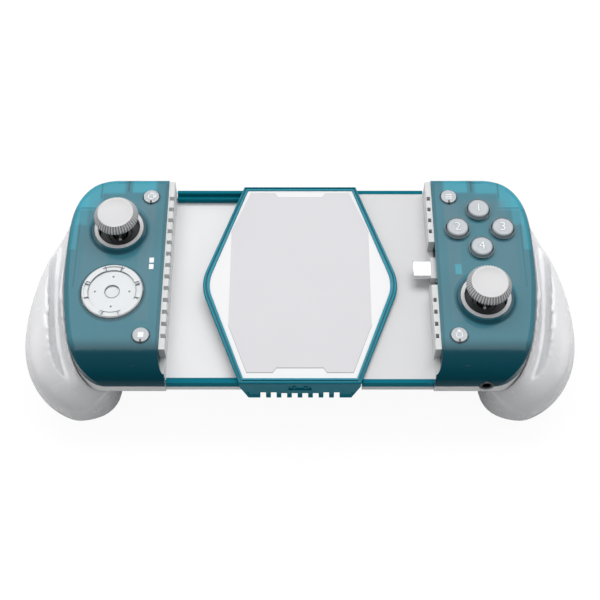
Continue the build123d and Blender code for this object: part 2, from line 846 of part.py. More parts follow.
def make_bridge_back():
    """Teal back cover: a tapered hexagonal tray with ribs underneath."""
    length = bridge_half_length
    share = (-hump_rim - taper_start_drop) / (hump_depth - taper_start_drop)
    rim_half = hexagon_end_half - hump_taper * share
    rim_side = hexagon_side_half - hump_taper * share
    top = hexagon(rim_half, rim_side, length, length)
    base = hexagon(hexagon_end_half - hump_taper, hexagon_side_half - hump_taper, length, length)
    cover = loft([Pos(0, 0, hump_base) * base, Pos(0, 0, hump_rim) * top], ruled=True)
    hollow = hexagon(hexagon_end_half - hump_taper - bridge_wall,
                     hexagon_side_half - hump_taper - bridge_wall,
                     length - foot_length - bridge_wall, length - foot_length - bridge_wall)
    cover -= raised(hollow, hump_inside, hump_rim + overrun)
    foot_half = hexagon_end_half - hump_taper - panel_gap
    for sign in (-1, 1):
        pocket = sorted((sign * (length - foot_length - panel_gap), sign * (length + overrun)))
        cover -= block((-foot_half, foot_half), pocket,
                       (hump_rim - foot_thickness - panel_gap, hump_rim + overrun))
    for i in range(groove_count):
        x = (i - (groove_count - 1) / 2) * groove_pitch
        cover -= block((x - groove_width / 2, x + groove_width / 2), (-length - overrun, length + overrun),
                       (hump_base - overrun, hump_base + groove_depth))
    cover -= notches()
    for x in (-bridge_screw_x, bridge_screw_x):
        for y in bridge_screw_rows():
            cover -= disc(x, y, hump_base - overrun, hump_rim, bridge_screw_radius + screw_clearance)
            cover -= disc(x, y, hump_base - overrun, hump_base + bridge_screw_head_height,
                          bridge_screw_head + screw_clearance)
    for y in (-spring_row, spring_row):
        cover += block((spring_anchor_x, spring_anchor_x + spring_lug_thickness),
                       (y - spring_lug_width / 2, y + spring_lug_width / 2),
                       (hump_inside - panel_gap, spring_z() + spring_radius))
    cover += disc(0, 0, hump_inside - panel_gap, hump_inside + post_base_thickness, post_base_radius)
    cover += disc(0, 0, hump_inside, gear_low - running_clearance, post_shoulder_radius)
    return cover + disc(0, 0, hump_inside, gear_high, post_radius)


def make_bridge_screws():
    """Four screws that hold the back cover to the frame's feet."""
    places = [(x, y) for x in (-bridge_screw_x, bridge_screw_x) for y in bridge_screw_rows()]
    seat = hump_base + bridge_screw_head_height
    return make_screws(places, seat, hump_rim - panel_gap, bridge_screw_head, bridge_screw_head_height,
                       bridge_screw_radius)


def make_bridge_plate():
    """White rest plate inside the ring, with a flange caught under it."""
    length = bridge_half_length
    gap = panel_gap
    top = hexagon(hexagon_end_half - ring_side_width / 2 - gap, hexagon_side_half - ring_side_width - gap,
                  length - ring_back_width - gap, length - ring_front_width - gap)
    wide = plate_flange_width
    flange = hexagon(hexagon_end_half - ring_side_width / 2 + wide / 2,
                     hexagon_side_half - ring_side_width + wide,
                     length - ring_back_width + wide / 2, length - ring_front_width + wide)
    low = -plate_thickness - plate_flange_thickness
    plate = raised(top, -plate_thickness - gap, 0) + raised(flange, low, -plate_thickness - gap / 2)
    return plate - flat(pad_outline(), -pad_film_thickness, overrun)


def pad_outline():
    """Outline of the grey panel: eight sides, with a shallow notch in each end."""
    notch, floor = panel_notch_half, panel_notch_half - panel_notch_slope
    back, front = panel_back - panel_notch_depth, panel_notch_depth - panel_front
    right = [(floor, back), (notch, panel_back), (panel_end_half, panel_back),
             (panel_side_half, panel_back_knee), (panel_side_half, -panel_front_knee),
             (panel_end_half, -panel_front), (notch, -panel_front), (floor, front)]
    return right + [(-x, y) for x, y in reversed(right)]


def make_phone_pad(right):
    """White strip that the phone's end rests against, with a row of notches."""
    low = tongue_top if right else channel_top
    top = face_z - pad_drop
    front = front_y + wrap_length
    back = back_y - pad_end_gap
    xs = (pad_x, inner_x - panel_gap)
    sill = rail_top + panel_gap
    strip = block(xs, (front + panel_gap, back), (sill, top))
    strip += block((pad_x + strip_setback, xs[1]), (front + panel_gap, back), (low, sill))
    lower_half = tongue_half_width if right else channel_half_width
    strip += block((pad_x + strip_setback, xs[1]), (-lower_half, front + 2 * panel_gap), (low, 0))
    strip = fillet(strip.edges().filter_by(Axis.Y).group_by(Axis.Z)[-1].sort_by(Axis.X)[0], pad_drop)
    if right:
        notch = (pad_x + right_notch_inset, pad_x + right_notch_inset + right_notch_reach)
    else:
        notch = (pad_x - overrun, pad_x + left_notch_reach)
    for i in range(notch_count):
        y = notch_first_y - i * notch_step
        if right and recess_low - notch_step / 2 < y < recess_high + notch_step / 2:
            continue
        strip -= block(notch, (y - notch_width / 2, y + notch_width / 2), (top - notch_depth, top + overrun))
    if right:
        strip -= block((pad_x - overrun, inner_x + overrun), (recess_low, recess_high), (0, top + overrun))
    return strip


def make_stick_ring(x, y):
    """White ring set into the collar, with a lip over it."""
    hole = ring_outer_radius - hole_gap * 2
    lip_low = face_z + collar_rise + hole_gap / 3
    lip_top = face_z + ring_lip_rise
    ring = disc(x, y, ceiling_z, lip_top, hole - hole_gap)
    ring += disc(x, y, lip_low, lip_top, ring_outer_radius)
    return ring - disc(x, y, ceiling_z - overrun, lip_top + overrun, ring_inner_radius)


def make_stick_housing(x, y):
    """Square case of the stick's mechanism, open at the top."""
    half = housing_half_width
    hollow = carriage_half_width + carriage_clearance
    top = carriage_top() + carriage_clearance + housing_cover
    case = block((x - half, x + half), (y - half, y + half), (board_top, top))
    case -= block((x - hollow, x + hollow), (y - hollow, y + hollow),
                  (board_top + housing_base, top - housing_cover))
    return case - disc(x, y, top - housing_cover - overrun, top + overrun,
                       carriage_bore_radius + carriage_clearance)


def carriage_top():
    """Upper face of the carriage at rest."""
    return stick_pivot_z + carriage_half_height


def make_stick_carriage(x, y):
    """Square frame that slides down when the stick is clicked."""
    half = carriage_half_width
    low = stick_pivot_z - carriage_half_height
    frame = block((x - half, x + half), (y - half, y + half), (low, carriage_top()))
    frame -= disc(x, y, low - overrun, carriage_top() + overrun, carriage_bore_radius)
    return frame - rod_x(x - half - overrun, x + half + overrun, y, stick_pivot_z,
                         gimbal_pin_radius + running_clearance)


def make_stick_yoke(x, y):
    """Ring with two pins along X that carries the stick's cross pin."""
    low = stick_pivot_z - yoke_half_height
    high = stick_pivot_z + yoke_half_height
    half = carriage_half_width - carriage_clearance
    ring = disc(x, y, low, high, yoke_outer_radius)
    ring += rod_x(x - half, x + half, y, stick_pivot_z, gimbal_pin_radius)
    ring -= disc(x, y, low - overrun, high + overrun, yoke_inner_radius)
    return ring - rod_y(x, y - yoke_outer_radius - overrun, y + yoke_outer_radius + overrun, stick_pivot_z,
                        gimbal_pin_radius + running_clearance)


def make_stick_post(x, y):
    """Steel stem with its ball, cross pin and collar."""
    half = yoke_outer_radius - carriage_clearance
    post = Pos(x, y, stick_pivot_z) * Sphere(ball_radius)
    post += disc(x, y, stick_pivot_z, cap_base_z + spigot_reach, spigot_radius)
    post += disc(x, y, stick_pivot_z + 2 * ball_radius, cap_base_z + spigot_reach / 2, stem_radius)
    return post + rod_y(x, y - half, y + half, stick_pivot_z, gimbal_pin_radius)


def cap_star(level, share):
    """Ribbed outline of the thumb cap at a level, as a share of its widest one."""
    star = []
    for i in range(2 * knurl_count):
        angle = pi * i / knurl_count
        reach = share * (cap_radius - knurl_depth * (i % 2))
        star.append((reach * cos(angle), reach * sin(angle)))
    return Pos(0, 0, cap_base_z + level) * make_face(Polyline(*star, close=True))


def make_stick_cap(x, y):
    """Thumb cap: ribbed flank that narrows to a dished crown, on a plain neck."""
    top = cap_base_z + cap_height
    cap = loft([cap_star(level, share) for level, share in zip(cap_rib_levels, cap_rib_shares)], ruled=True)
    crown = disc(0, 0, top - cap_crown_height, top, cap_crown_radius)
    cap += chamfer(crown.faces().sort_by(Axis.Z)[-1].edges(), cap_crown_chamfer)
    dish_radius = (cap_dish_radius ** 2 + cap_dish_depth ** 2) / (2 * cap_dish_depth)
    cap -= Pos(0, 0, top - cap_dish_depth + dish_radius) * Sphere(dish_radius)
    cap += disc(0, 0, cap_base_z - neck_height, cap_base_z + panel_gap, neck_radius)
    cap -= disc(0, 0, cap_base_z - neck_height - overrun, cap_base_z + spigot_reach, spigot_radius)
    cap -= disc(0, 0, cap_base_z - neck_height - overrun, cap_base_z + spigot_reach / 2, stem_radius)
    return Pos(x, y, 0) * cap


def make_dpad_disc():
    """Round direction disc with a dish, a dimple and four lobes."""
    x, y = dpad_x, dpad_y
    top = face_z + dpad_rise
    body = disc(x, y, dpad_flange_z, top, dpad_radius)
    body = chamfer(body.faces().sort_by(Axis.Z)[-1].edges(), dpad_rise / 2)
    body -= disc(x, y, top - dpad_dish_depth, top + overrun, dpad_dish_radius)
    body -= disc(x, y, top - dpad_dish_depth - dimple_depth, top, dimple_radius)
    for dx, dy in ((1, 0), (-1, 0), (0, 1), (0, -1)):
        lobe = disc(x + dx * lobe_reach, y + dy * lobe_reach, top - lobe_depth, top + overrun, lobe_radius)
        body -= lobe & disc(x, y, face_z, top + overrun, dpad_radius - dpad_rise)
    body += disc(x, y, dpad_flange_z, dpad_flange_z + dpad_flange_thickness, dpad_flange_radius)
    body += disc(x, y, dpad_pivot_z - dpad_pin_radius - dpad_gap, dpad_flange_z + panel_gap,
                 dpad_stem_radius)
    reach = rocker_outer_radius - panel_gap
    body += rod_y(x, y - reach, y + reach, dpad_pivot_z, dpad_pin_radius)
    nub_low = switch_top + face_button_travel + press_margin
    for px, py in dpad_switch_places():
        body += disc(px, py, nub_low, dpad_flange_z + panel_gap, button_plunger_radius)
    return body


def make_dpad_rocker():
    """Gimbal ring under the disc."""
    x, y = dpad_x, dpad_y
    low = dpad_pivot_z - rocker_half_height
    high = dpad_pivot_z + rocker_half_height
    reach = cradle_radius - panel_gap
    ring = disc(x, y, low, high, rocker_outer_radius)
    ring += rod_x(x - reach, x + reach, y, dpad_pivot_z, dpad_pin_radius)
    ring -= disc(x, y, low - overrun, high + overrun, rocker_inner_radius)
    return ring - rod_y(x, y - rocker_outer_radius - overrun, y + rocker_outer_radius + overrun,
                        dpad_pivot_z,
                        dpad_pin_radius + running_clearance)


def make_dpad_cradle():
    """Fixed cradle on the board whose ears carry the rocker's pins."""
    x, y = dpad_x, dpad_y
    cradle = disc(x, y, board_top, board_top + cradle_base, cradle_radius)
    for sign in (-1, 1):
        ear = sorted((x + sign * cradle_ear_inner, x + sign * cradle_radius))
        cradle += block(ear, (y - cradle_ear_half_width, y + cradle_ear_half_width),
                        (board_top + cradle_base - panel_gap, cradle_ear_top))
    return cradle - rod_x(x - cradle_radius - overrun, x + cradle_radius + overrun, y, dpad_pivot_z,
                          dpad_pin_radius + running_clearance)


def dpad_switch_places():
    """Four switches under the disc's lobes, clear of the cradle's ears."""
    r = dpad_switch_radius
    return [(dpad_x + r, dpad_y), (dpad_x - r, dpad_y), (dpad_x, dpad_y + r), (dpad_x, dpad_y - r)]


def face_button_places():
    """The four face buttons: back, inner, outer and front."""
    s = face_button_spacing
    x, y = face_button_x, face_button_y
    return [(x, y + s), (x - s, y), (x + s, y), (x, y - s)]


def make_button(x, y, radius, rise, dome, travel_room):
    """Round button with a retaining flange and a plunger over its switch."""
    top = face_z + rise
    body = disc(x, y, ceiling_z - button_flange_thickness, top, radius)
    body = fillet(body.faces().sort_by(Axis.Z)[-1].edges(), dome)
    body += disc(x, y, ceiling_z - button_flange_thickness - press_margin, ceiling_z - press_margin,
                 radius + button_flange)
    low = switch_top + travel_room + press_margin
    return body + disc(x, y, low, ceiling_z - button_flange_thickness, button_plunger_radius)


def make_switches(places):
    """Tactile switches on the board, each with a round actuator."""
    h = switch_half_width
    shoulder = switch_top - press_margin * 8
    return [block((x - h, x + h), (y - h, y + h), (board_top, shoulder)) +
            disc(x, y, shoulder - panel_gap, switch_top, button_plunger_radius) for x, y in places]


def make_board(right):
    """Circuit board of one half with its chips, clear of the bosses."""
    plan = half_plan(board_inset, board_start - inner_x, False)
    board = raised(plan, board_base, board_top)
    board &= block((board_start, outer_x), (front_y, board_back_y),
                   (board_base - overrun, board_top + overrun))
    board += block((board_start, board_start + board_tab_width), (board_back_y - overrun, board_tab_y),
                   (board_base, board_top))
    for inset, y in shell_screw_places:
        board -= disc(inner_x + inset, y, board_base - overrun, board_top + overrun,
                      back_boss_radius + hole_gap)
    if right:
        board -= block((jack_x - jack_body_half_width - hole_gap, jack_x + jack_body_half_width + hole_gap),
                       (front_y, front_y + shell_wall + jack_bore_length + overrun),
                       (board_base - overrun, board_top + overrun))
        board -= block((0, plug_pivot_x + holder_pivot_radius + plug_ear_thickness + hole_gap),
                       (recess_low, recess_high), (board_base - overrun, board_top + overrun))
    for u, v in chip_shares:
        x = inner_x + u * shell_width
        y = front_y + v * shell_length
        board += block((x - chip_half_width, x + chip_half_width),
                       (y - chip_half_length, y + chip_half_length),
                       (board_base - chip_height, board_base + panel_gap))
    return board


def window_block(step, low, high, inset):
    """One indicator window's block."""
    x = inner_x + window_inset
    y = window_y + window_step / 2 - step * window_step
    return block((x - window_width / 2 + inset, x + window_width / 2 - inset),
                 (y - window_length / 2 + inset, y + window_length / 2 - inset), (low, high))


def make_windows():
    """Two plain light windows flush with the face."""
    return [window_block(step, ceiling_z, face_z + panel_gap / 2, panel_gap / 2) for step in (0, 1)]


def make_bumper():
    """Shoulder bumper: a bar that follows the rounded corner, hinged near its inner end."""
    x0 = shoulder_x0 + bumper_gap
    x1 = shoulder_x1 - bumper_gap
    low = -bumper_low_drop
    front = back_y - bumper_depth
    crest = (x0 + bumper_depth, back_y + bumper_reach)
    outline = Line((x0, front), (x0, back_y + bumper_end_reach))
    outline += ThreePointArc((x0, back_y + bumper_end_reach), crest, (x1, front + bumper_tip_width))
    outline += Line((x1, front + bumper_tip_width), (x1, front))
    outline += Line((x1, front), (x0, front))
    bar = raised(make_face(outline), low, bumper_high)
    rear = bar.edges().filter_by(GeomType.CIRCLE)
    bar = fillet(rear, bumper_radius)
    return bar - disc(bumper_pin_x(), bumper_pin_y(), low - overrun, bumper_high + overrun,
                      shoulder_pin_radius + running_clearance)


def bumper_pin_x():
    """X of the bumper's hinge."""
    return shoulder_x0 + bumper_gap + bumper_pin_inset


def bumper_pin_y():
    """Y of the bumper's hinge."""
    return back_y - bumper_depth + bumper_pin_inset


def make_trigger():
    """Trigger: a curved lever that hangs from a pin along X."""
    y0, z0 = trigger_pivot_y, trigger_pivot_z
    top = -trigger_top_drop
    tip = -trigger_tip_drop
    reach = trigger_reach
    outline = Line((y0, z0 + trigger_boss_radius), (back_y - shell_wall, top))
    outline += Line((back_y - shell_wall, top), (back_y, top - panel_gap))
    outline += ThreePointArc((back_y, top - panel_gap), (reach, (top + tip) / 2 + trigger_wall / 2),
                             (back_y, tip))
    outline += Line((back_y, tip), (back_y - trigger_wall, tip))
    outline += ThreePointArc((back_y - trigger_wall, tip), (reach - trigger_crown, (top + tip) / 2),
                             (back_y - trigger_web, z0 - trigger_boss_radius))
    outline += Line((back_y - trigger_web, z0 - trigger_boss_radius), (y0, z0 - trigger_boss_radius))
    outline += ThreePointArc((y0, z0 - trigger_boss_radius), (y0 - trigger_boss_radius, z0),
                             (y0, z0 + trigger_boss_radius))
    x0 = shoulder_x0 + trigger_gap
    x1 = shoulder_x1 - trigger_gap
    lever = section_yz(make_face(outline), x0, x1)
    lever -= rod_x(x0 - overrun, x1 + overrun, y0, z0, shoulder_pin_radius + running_clearance)
    return lever


def make_pivot_pins(right):
    """Pins of the bumper and the trigger, and of the plug on the right half."""
    upright = disc(bumper_pin_x(), bumper_pin_y(), board_base + panel_gap, ceiling_z, shoulder_pin_radius)
    across = rod_x(shoulder_x0 - ear_thickness, shoulder_x1 + ear_thickness, trigger_pivot_y,
                   trigger_pivot_z,
                   shoulder_pin_radius)
    if not right:
        return [upright, across]
    first, second = plug_ear_places()
    return [upright, across,
            rod_y(plug_pivot_x, first, second + plug_ear_thickness, plug_z, plug_pin_radius)]


def plug_ear_places():
    """Lower Y of the two ears that hold the plug's pin."""
    gap = holder_half_width + hole_gap
    return (plug_y - gap - plug_ear_thickness, plug_y + gap)


def make_plug():
    """Metal shell of the USB plug, an open rounded tube."""
    end = inner_x - pad_width + holder_start
    outer = RectangleRounded(plug_height, plug_width, plug_corner)
    bore = RectangleRounded(plug_height - 2 * plug_wall, plug_width - 2 * plug_wall, plug_corner - plug_wall)
    body = extrude(outer, plug_length) - Pos(0, 0, -overrun) * extrude(bore, plug_length)
    placed = Pos(end - plug_length, plug_y, plug_z) * Rot(0, 90, 0) * body
    return placed


def make_plug_holder():
    """White block that carries the plug and turns on its pin."""
    start = pad_x + holder_start
    y0 = plug_y - holder_half_width
    y1 = plug_y + holder_half_width
    arm = block((start, plug_pivot_x), (y0, y1), (plug_z - holder_half_height, plug_z + holder_half_height))
    hub = rod_y(plug_pivot_x, y0, y1, plug_z, holder_pivot_radius)
    return arm + hub - rod_y(plug_pivot_x, y0 - overrun, y1 + overrun, plug_z,
                             plug_pin_radius + running_clearance)


def make_jack():
    """Audio socket: a barrel at the wall and a body behind it."""
    mouth = front_y + jack_lip
    body_start = front_y + shell_wall + jack_body_setback
    end = mouth + jack_bore_length + overrun
    jack = rod_y(jack_x, mouth, body_start + overrun, split_z, jack_barrel_radius)
    jack += block((jack_x - jack_body_half_width, jack_x + jack_body_half_width), (body_start, end),
                  (split_z - jack_body_half_height, split_z + jack_body_half_height))
    return jack - rod_y(jack_x, mouth - overrun, mouth + jack_bore_length, split_z, jack_bore_radius)


def grip_section(i, wall):
    """Closed section of the grip square to Y. With a wall it is the hollow, open towards the shell."""
    out = grip_out[i] - wall
    crest = grip_crest[i] - wall * grip_roof_share
    base = grip_base[i] + wall
    inner = grip_in[i] - wall
    width = out - inner
    middle = (crest + base) / 2
    level = max(min(grip_level[i], crest - wall), middle) if wall else grip_level[i]
    foot = (inner, base + width * grip_foot_share)
    plane = Plane(origin=(0, grip_stations[i], 0), x_dir=(1, 0, 0), z_dir=(0, -1, 0))
    over = (inner + width * grip_top_share, crest)
    under = (inner + width * grip_base_share, base)
    upper = Spline((inner, crest), over, (out, level), tangents=[(1, 0), (0, -1)])
    lower = Spline((out, level), under, foot, tangents=[(0, -1), grip_foot_tangent])
    return plane * make_face(upper + lower + Line(foot, (inner, crest)))


def make_grip():
    """Translucent handle that wraps the outer side of a half and hangs below it."""
    stations = range(len(grip_stations))
    body = loft([grip_section(i, 0) for i in stations])
    body -= loft([grip_section(i, grip_wall) for i in stations[slice(*grip_hollow_ends)]])
    body -= raised(half_plan(-grip_gap, -grip_gap, True), split_z - front_depth, face_z)
    body -= back_volume(-grip_gap, -grip_gap, True, split_z + panel_gap)
    curve = side_curve(-valley_offset)[1:]
    last = len(curve) - 1
    valley = [(x, y, valley_rise - valley_fall * max(0, i - 1) / (last - 1)) for i,
              (x, y) in enumerate(curve)]
    path = Spline(*valley)
    profile = Plane(path @ 0, z_dir=path % 0) * Circle(valley_radius)
    return body - sweep(profile, path=path)


def parts():
    """Every node with its solids."""
    half = {}
    half["bridge_frame"] = make_bridge_frame()
    half["bridge_plate"] = make_bridge_plate()
    half["bridge_pad"] = flat(pad_outline(), -pad_film_thickness, -panel_gap / 2)
    half["bridge_back"] = make_bridge_back()
    half["bridge_screws"] = make_bridge_screws()
    half["sync_pinion"] = make_pinion()
    half["return_springs"] = make_springs()
    half["left_tray"] = left(make_left_tray())
    half["left_tray_rails"] = [left(r) for r in make_left_rails()]
    half["left_rack"] = left(make_left_rack())
    half["right_tray"] = make_right_tray()
    half["right_tray_rails"] = make_right_rails()
    half["right_rack"] = make_right_rack()
    for name, right in (("left", False), ("right", True)):
        turn = (lambda s: s) if right else left
        x = right_stick_x if right else left_stick_x
        y = right_stick_y if right else left_stick_y
        half[name + "_front_shell"] = turn(make_front_shell(right))
        half[name + "_back_shell"] = turn(make_back_shell(right))
        half[name + "_grip"] = turn(make_grip())
        half[name + "_phone_pad"] = turn(make_phone_pad(right))
        half[name + "_screws"] = [turn(s) for s in make_shell_screws()]
        half[name + "_circuit_board"] = turn(make_board(right))
        half[name + "_stick_housing"] = turn(make_stick_housing(x, y))
        half[name + "_stick_ring"] = turn(make_stick_ring(x, y))
        half[name + "_stick_carriage"] = turn(make_stick_carriage(x, y))
        half[name + "_stick_yoke"] = turn(make_stick_yoke(x, y))
        half[name + "_stick_post"] = turn(make_stick_post(x, y))
        half[name + "_stick_cap"] = turn(make_stick_cap(x, y))
        half[name + "_bumper"] = turn(make_bumper())
        half[name + "_trigger"] = turn(make_trigger())
        half[name + "_pivot_pins"] = [turn(s) for s in make_pivot_pins(right)]
    small = [(small_button_x, small_button_back_y), (small_button_x, small_button_front_y)]
    half["right_button_switches"] = make_switches(face_button_places() + small)
    half["left_button_switches"] = [left(s) for s in make_switches(dpad_switch_places() + small)]
    half["left_light_windows"] = [left(s) for s in make_windows()]
    half["dpad_cradle"] = left(make_dpad_cradle())
    half["dpad_rocker"] = left(make_dpad_rocker())
    half["dpad_disc"] = left(make_dpad_disc())
    names = [("view_button", "menu_button"), ("capture_button", "home_button")]
    for (left_name, right_name), (x, y) in zip(names, small):
        button = make_button(x, y, small_button_radius, small_button_rise, small_button_dome,
                             small_button_travel)
        half[left_name] = left(button)
        half[right_name] = button
    for i, (x, y) in enumerate(face_button_places()):
        half["face_button_" + str(i + 1)] = make_button(x, y, face_button_radius, face_button_rise,
                                                        face_button_dome, face_button_travel)
    half["usb_plug"] = make_plug()
    half["usb_plug_holder"] = make_plug_holder()
    half["audio_jack"] = make_jack()
    return half


def export(name, shape):
    """Write one node's solids."""
    solids = []
    for piece in shape if isinstance(shape, list) else [shape]:
        solids.extend(piece.solids())
    export_step(solids[0] if len(solids) == 1 else Compound(children=solids), "parts/" + name + ".step")


os.makedirs("parts", exist_ok=True)
for node, solid in parts().items():
    export(node, solid)
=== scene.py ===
"""Dresses the telescopic game controller: finishes, grips, thumb caps, marks and the stage."""
import json
from math import cos, pi, radians, sin

import bmesh
import bpy
from mathutils import Matrix, Vector


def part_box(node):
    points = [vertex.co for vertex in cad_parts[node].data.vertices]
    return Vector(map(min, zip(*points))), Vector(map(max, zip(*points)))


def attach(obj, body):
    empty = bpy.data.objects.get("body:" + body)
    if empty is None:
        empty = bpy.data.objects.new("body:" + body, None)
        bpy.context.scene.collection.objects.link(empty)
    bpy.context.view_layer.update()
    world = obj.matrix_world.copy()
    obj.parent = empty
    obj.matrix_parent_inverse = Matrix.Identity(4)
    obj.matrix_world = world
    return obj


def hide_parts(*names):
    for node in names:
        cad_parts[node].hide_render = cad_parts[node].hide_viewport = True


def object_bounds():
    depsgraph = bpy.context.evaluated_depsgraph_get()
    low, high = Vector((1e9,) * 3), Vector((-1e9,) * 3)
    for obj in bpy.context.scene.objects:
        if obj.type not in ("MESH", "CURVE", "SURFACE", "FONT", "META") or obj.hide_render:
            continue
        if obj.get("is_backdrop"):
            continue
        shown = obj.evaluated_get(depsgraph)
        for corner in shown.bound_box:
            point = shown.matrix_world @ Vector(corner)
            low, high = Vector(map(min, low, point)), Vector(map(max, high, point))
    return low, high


bl_info = {
    "name": "Telescopic Game Controller",
    "version": (1, 0, 0),
    "blender": (4, 5, 0),
    "location": "3D View > Sidebar > Controller",
    "description": "Finishes and fine pieces of a telescopic game controller",
    "category": "Object",
}

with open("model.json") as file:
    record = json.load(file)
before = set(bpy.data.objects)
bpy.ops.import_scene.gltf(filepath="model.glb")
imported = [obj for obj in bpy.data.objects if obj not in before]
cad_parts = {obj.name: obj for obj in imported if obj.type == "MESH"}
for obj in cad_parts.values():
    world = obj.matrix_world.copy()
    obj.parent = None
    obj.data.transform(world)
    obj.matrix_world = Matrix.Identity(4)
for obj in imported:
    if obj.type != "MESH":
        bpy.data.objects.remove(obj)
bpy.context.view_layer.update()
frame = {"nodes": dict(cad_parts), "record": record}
MM = 0.001

# Places between which a finish changes, along one axis, in mm; every fade here places painted shade or
# painted light
SHELL_FRONT_SHADE_FADE = (-38, -30)
SHELL_RIM_SHADE_FADE = (5.0, 7.56)
RING_GROOVE_SHADE_FADE = (-0.9, -0.5)
RING_TOP_LIGHT_FADE = (-0.3, 0.15)
GRIP_SHADE_FADE = (-16, 1)

# Colours of details
# Painted shadow that rings the controls on the tinted casing
SHELL_PAINTED_SHADOW = (0.0, 0.05, 0.075)
RING_TEAL = (0.01, 0.24, 0.33)
RING_WALL = (0.003, 0.20, 0.27)
# Painted shade in the ring's groove, and painted light on its top
RING_GROOVE_SHADE = (0.0, 0.06, 0.09)
RING_TOP_LIGHT = (0.015, 0.28, 0.38)
CAP_WHITE = (0.70, 0.70, 0.71)
# Painted shade in the thumb caps' rib grooves
CAP_GROOVE_SHADE = (0.40, 0.40, 0.41)
# Grip white: painted shade low down, painted light at the crest
GRIP_LOW_SHADE = (0.64, 0.65, 0.67)
GRIP_CREST_LIGHT = (0.86, 0.86, 0.88)
# White of the rest plate; also a lighter copy of the tray white on the left tray's channel, painted light
# against its shade
BRIGHT_WHITE = (0.86, 0.86, 0.87)
EVEN_SCATTER = ("Subsurface Radius", (1, 1, 1))

# Bright piece seen through the right casing beside the plug: middle, halves, shade, share
RIGHT_LIGHT = ((65.1, 0.8), (1.6, 2.7), (0.06, 0.36, 0.46), 0.9)

# Thumb cap in mm: how far its widest line stays inside the CAD cap, drops of its foot and skirt, and stem
CAP_MARGIN = 0.02
CAP_FOOT_DROP = 8
CAP_SKIRT_DROP = 4.6
CAP_BORE = 2.05
CAP_STEM = 4.5
CAP_CROWN_SHARE = 0.80
# Side as (share of radius, mm above skirt), rim as (mm outside the crown, mm below the top), dish as shares
CAP_SIDE = ((0.88, 0), (0.93, 0.35), (0.99, 1.1), (1, 1.5), (1, 2.1), (0.97, 2.55))
CAP_RIM = ((0.3, 0.32), (0, 0.08), (-0.35, 0.01), (-0.75, 0.1))
CAP_DISH = ((0.75, 0.55), (0.5, 0.8), (0.15, 1))
CAP_RIBBED_RINGS = slice(4, 10)

# Marks as bars (x, y, width, length) in mm
SQUARE_BARS = [(0, 0.85, 2.0, 0.3), (0, -0.85, 2.0, 0.3), (-0.85, 0, 0.3, 2.0), (0.85, 0, 0.3, 2.0)]
SMALL_MARKS = {
    "menu_button": [(0, 0.7, 2.0, 0.32), (0, 0, 2.0, 0.32), (0, -0.7, 2.0, 0.32)],
    "view_button": SQUARE_BARS + [(0.5, 1.25, 2.0, 0.3), (1.35, 0.5, 0.3, 1.8)],
    "capture_button": [(0, 0, 1.7, 1.7)],
    "home_button": SQUARE_BARS + [(0, 1.2, 1.2, 0.3), (0, 1.5, 0.5, 0.3)],
}
SMALL_MARK_SCALE = 1.35
# Black bar of painted shade where the notch of each small button lies
NOTCH_SHADE_BARS = [(0, -2.75, 0.8, 1.5)]
NOTCH_SHADE_DEPTH = 0.4
NUMBER_SHADE_SPREAD = 0.18
BUTTON_LINE_RISE = 0.45
BUTTON_LINE_HALF = 0.14

# Direction disc in mm, with the turn of its rays in radians
DISC_SLOPE_RADIUS = 12.4
DOT_REACH = 7.0
DOT_DROP = 0.85
DISC_RINGS = ((9.8, 0.5), (3.0, 0.8))
RAY_ENDS = (9.9, 12.0)
RAY_DROP = 0.32
RAY_SIZE = (2.1, 0.34, 0.72)
RAY_TURN = 0.30

# Border lines of the panel in mm: corners' share of its half width, notch, rise of the slanted sides
PANEL_CORNER_SHARE = 0.73
PANEL_NOTCH_HALF = 10.8
PANEL_NOTCH_INNER = 9.4
PANEL_NOTCH_DEPTH = 2.1
PANEL_SIDE_RISE = 21.5
PANEL_LINE_HEIGHT = 0.03

# Camera: target and distance in mm, tilt from straight above in degrees
CAMERA_TARGET = (0, -13.85, 7.6)
CAMERA_DISTANCE = 465
CAMERA_TILT = 30
CAMERA_LENS = 69
CAMERA_SENSOR = 36

# Area lamps: name, place and size in metres, power in watts
LAMPS = (("softbox", (0, 0.45, 0.95), (1.2, 0.5), 6.4),
         ("left fill", (-0.9, -0.1, 0.55), (0.7, 0.7), 1.3),
         ("right fill", (0.9, -0.1, 0.55), (0.7, 0.7), 1.3))
SKY_DIRECTION = (-0.75, 0.25)
SKY_STRENGTH = (0.16, 0.62)
FLOOR_HALF = 4
FLOOR_DROP = 0.2
FLOOR_GREY = (0.82, 0.82, 0.82)
FLOOR_GLOW = 1.04
FLOOR_GLOW_SHARE = 0.9


# Sizes and colours that a user would change

class ControllerSizes(bpy.types.PropertyGroup):
    """Sizes of the fine pieces."""
    rib_count: bpy.props.IntProperty(name="Ribs", description="Ribs round each thumb cap", default=46,
                                     min=12)
    rib_depth: bpy.props.FloatProperty(name="Rib depth", description="Depth of the ribs",
                                       default=0.35 * MM, unit="LENGTH")
    dish_depth: bpy.props.FloatProperty(name="Dish depth", description="Depth of the thumb dish",
                                        default=0.7 * MM, unit="LENGTH")
    mark_size: bpy.props.FloatProperty(name="Number size", description="Height of the button numbers",
                                       default=5.8 * MM, unit="LENGTH")
    mark_height: bpy.props.FloatProperty(name="Mark height", description="How far marks stand up",
                                         default=0.06 * MM, unit="LENGTH")
    grip_voxel: bpy.props.FloatProperty(name="Grip detail", description="Voxel size of the smoothed grips",
                                        default=0.8 * MM, unit="LENGTH")
    line_width: bpy.props.FloatProperty(name="Line width", description="Width of the border and disc lines",
                                        default=0.35 * MM, unit="LENGTH")


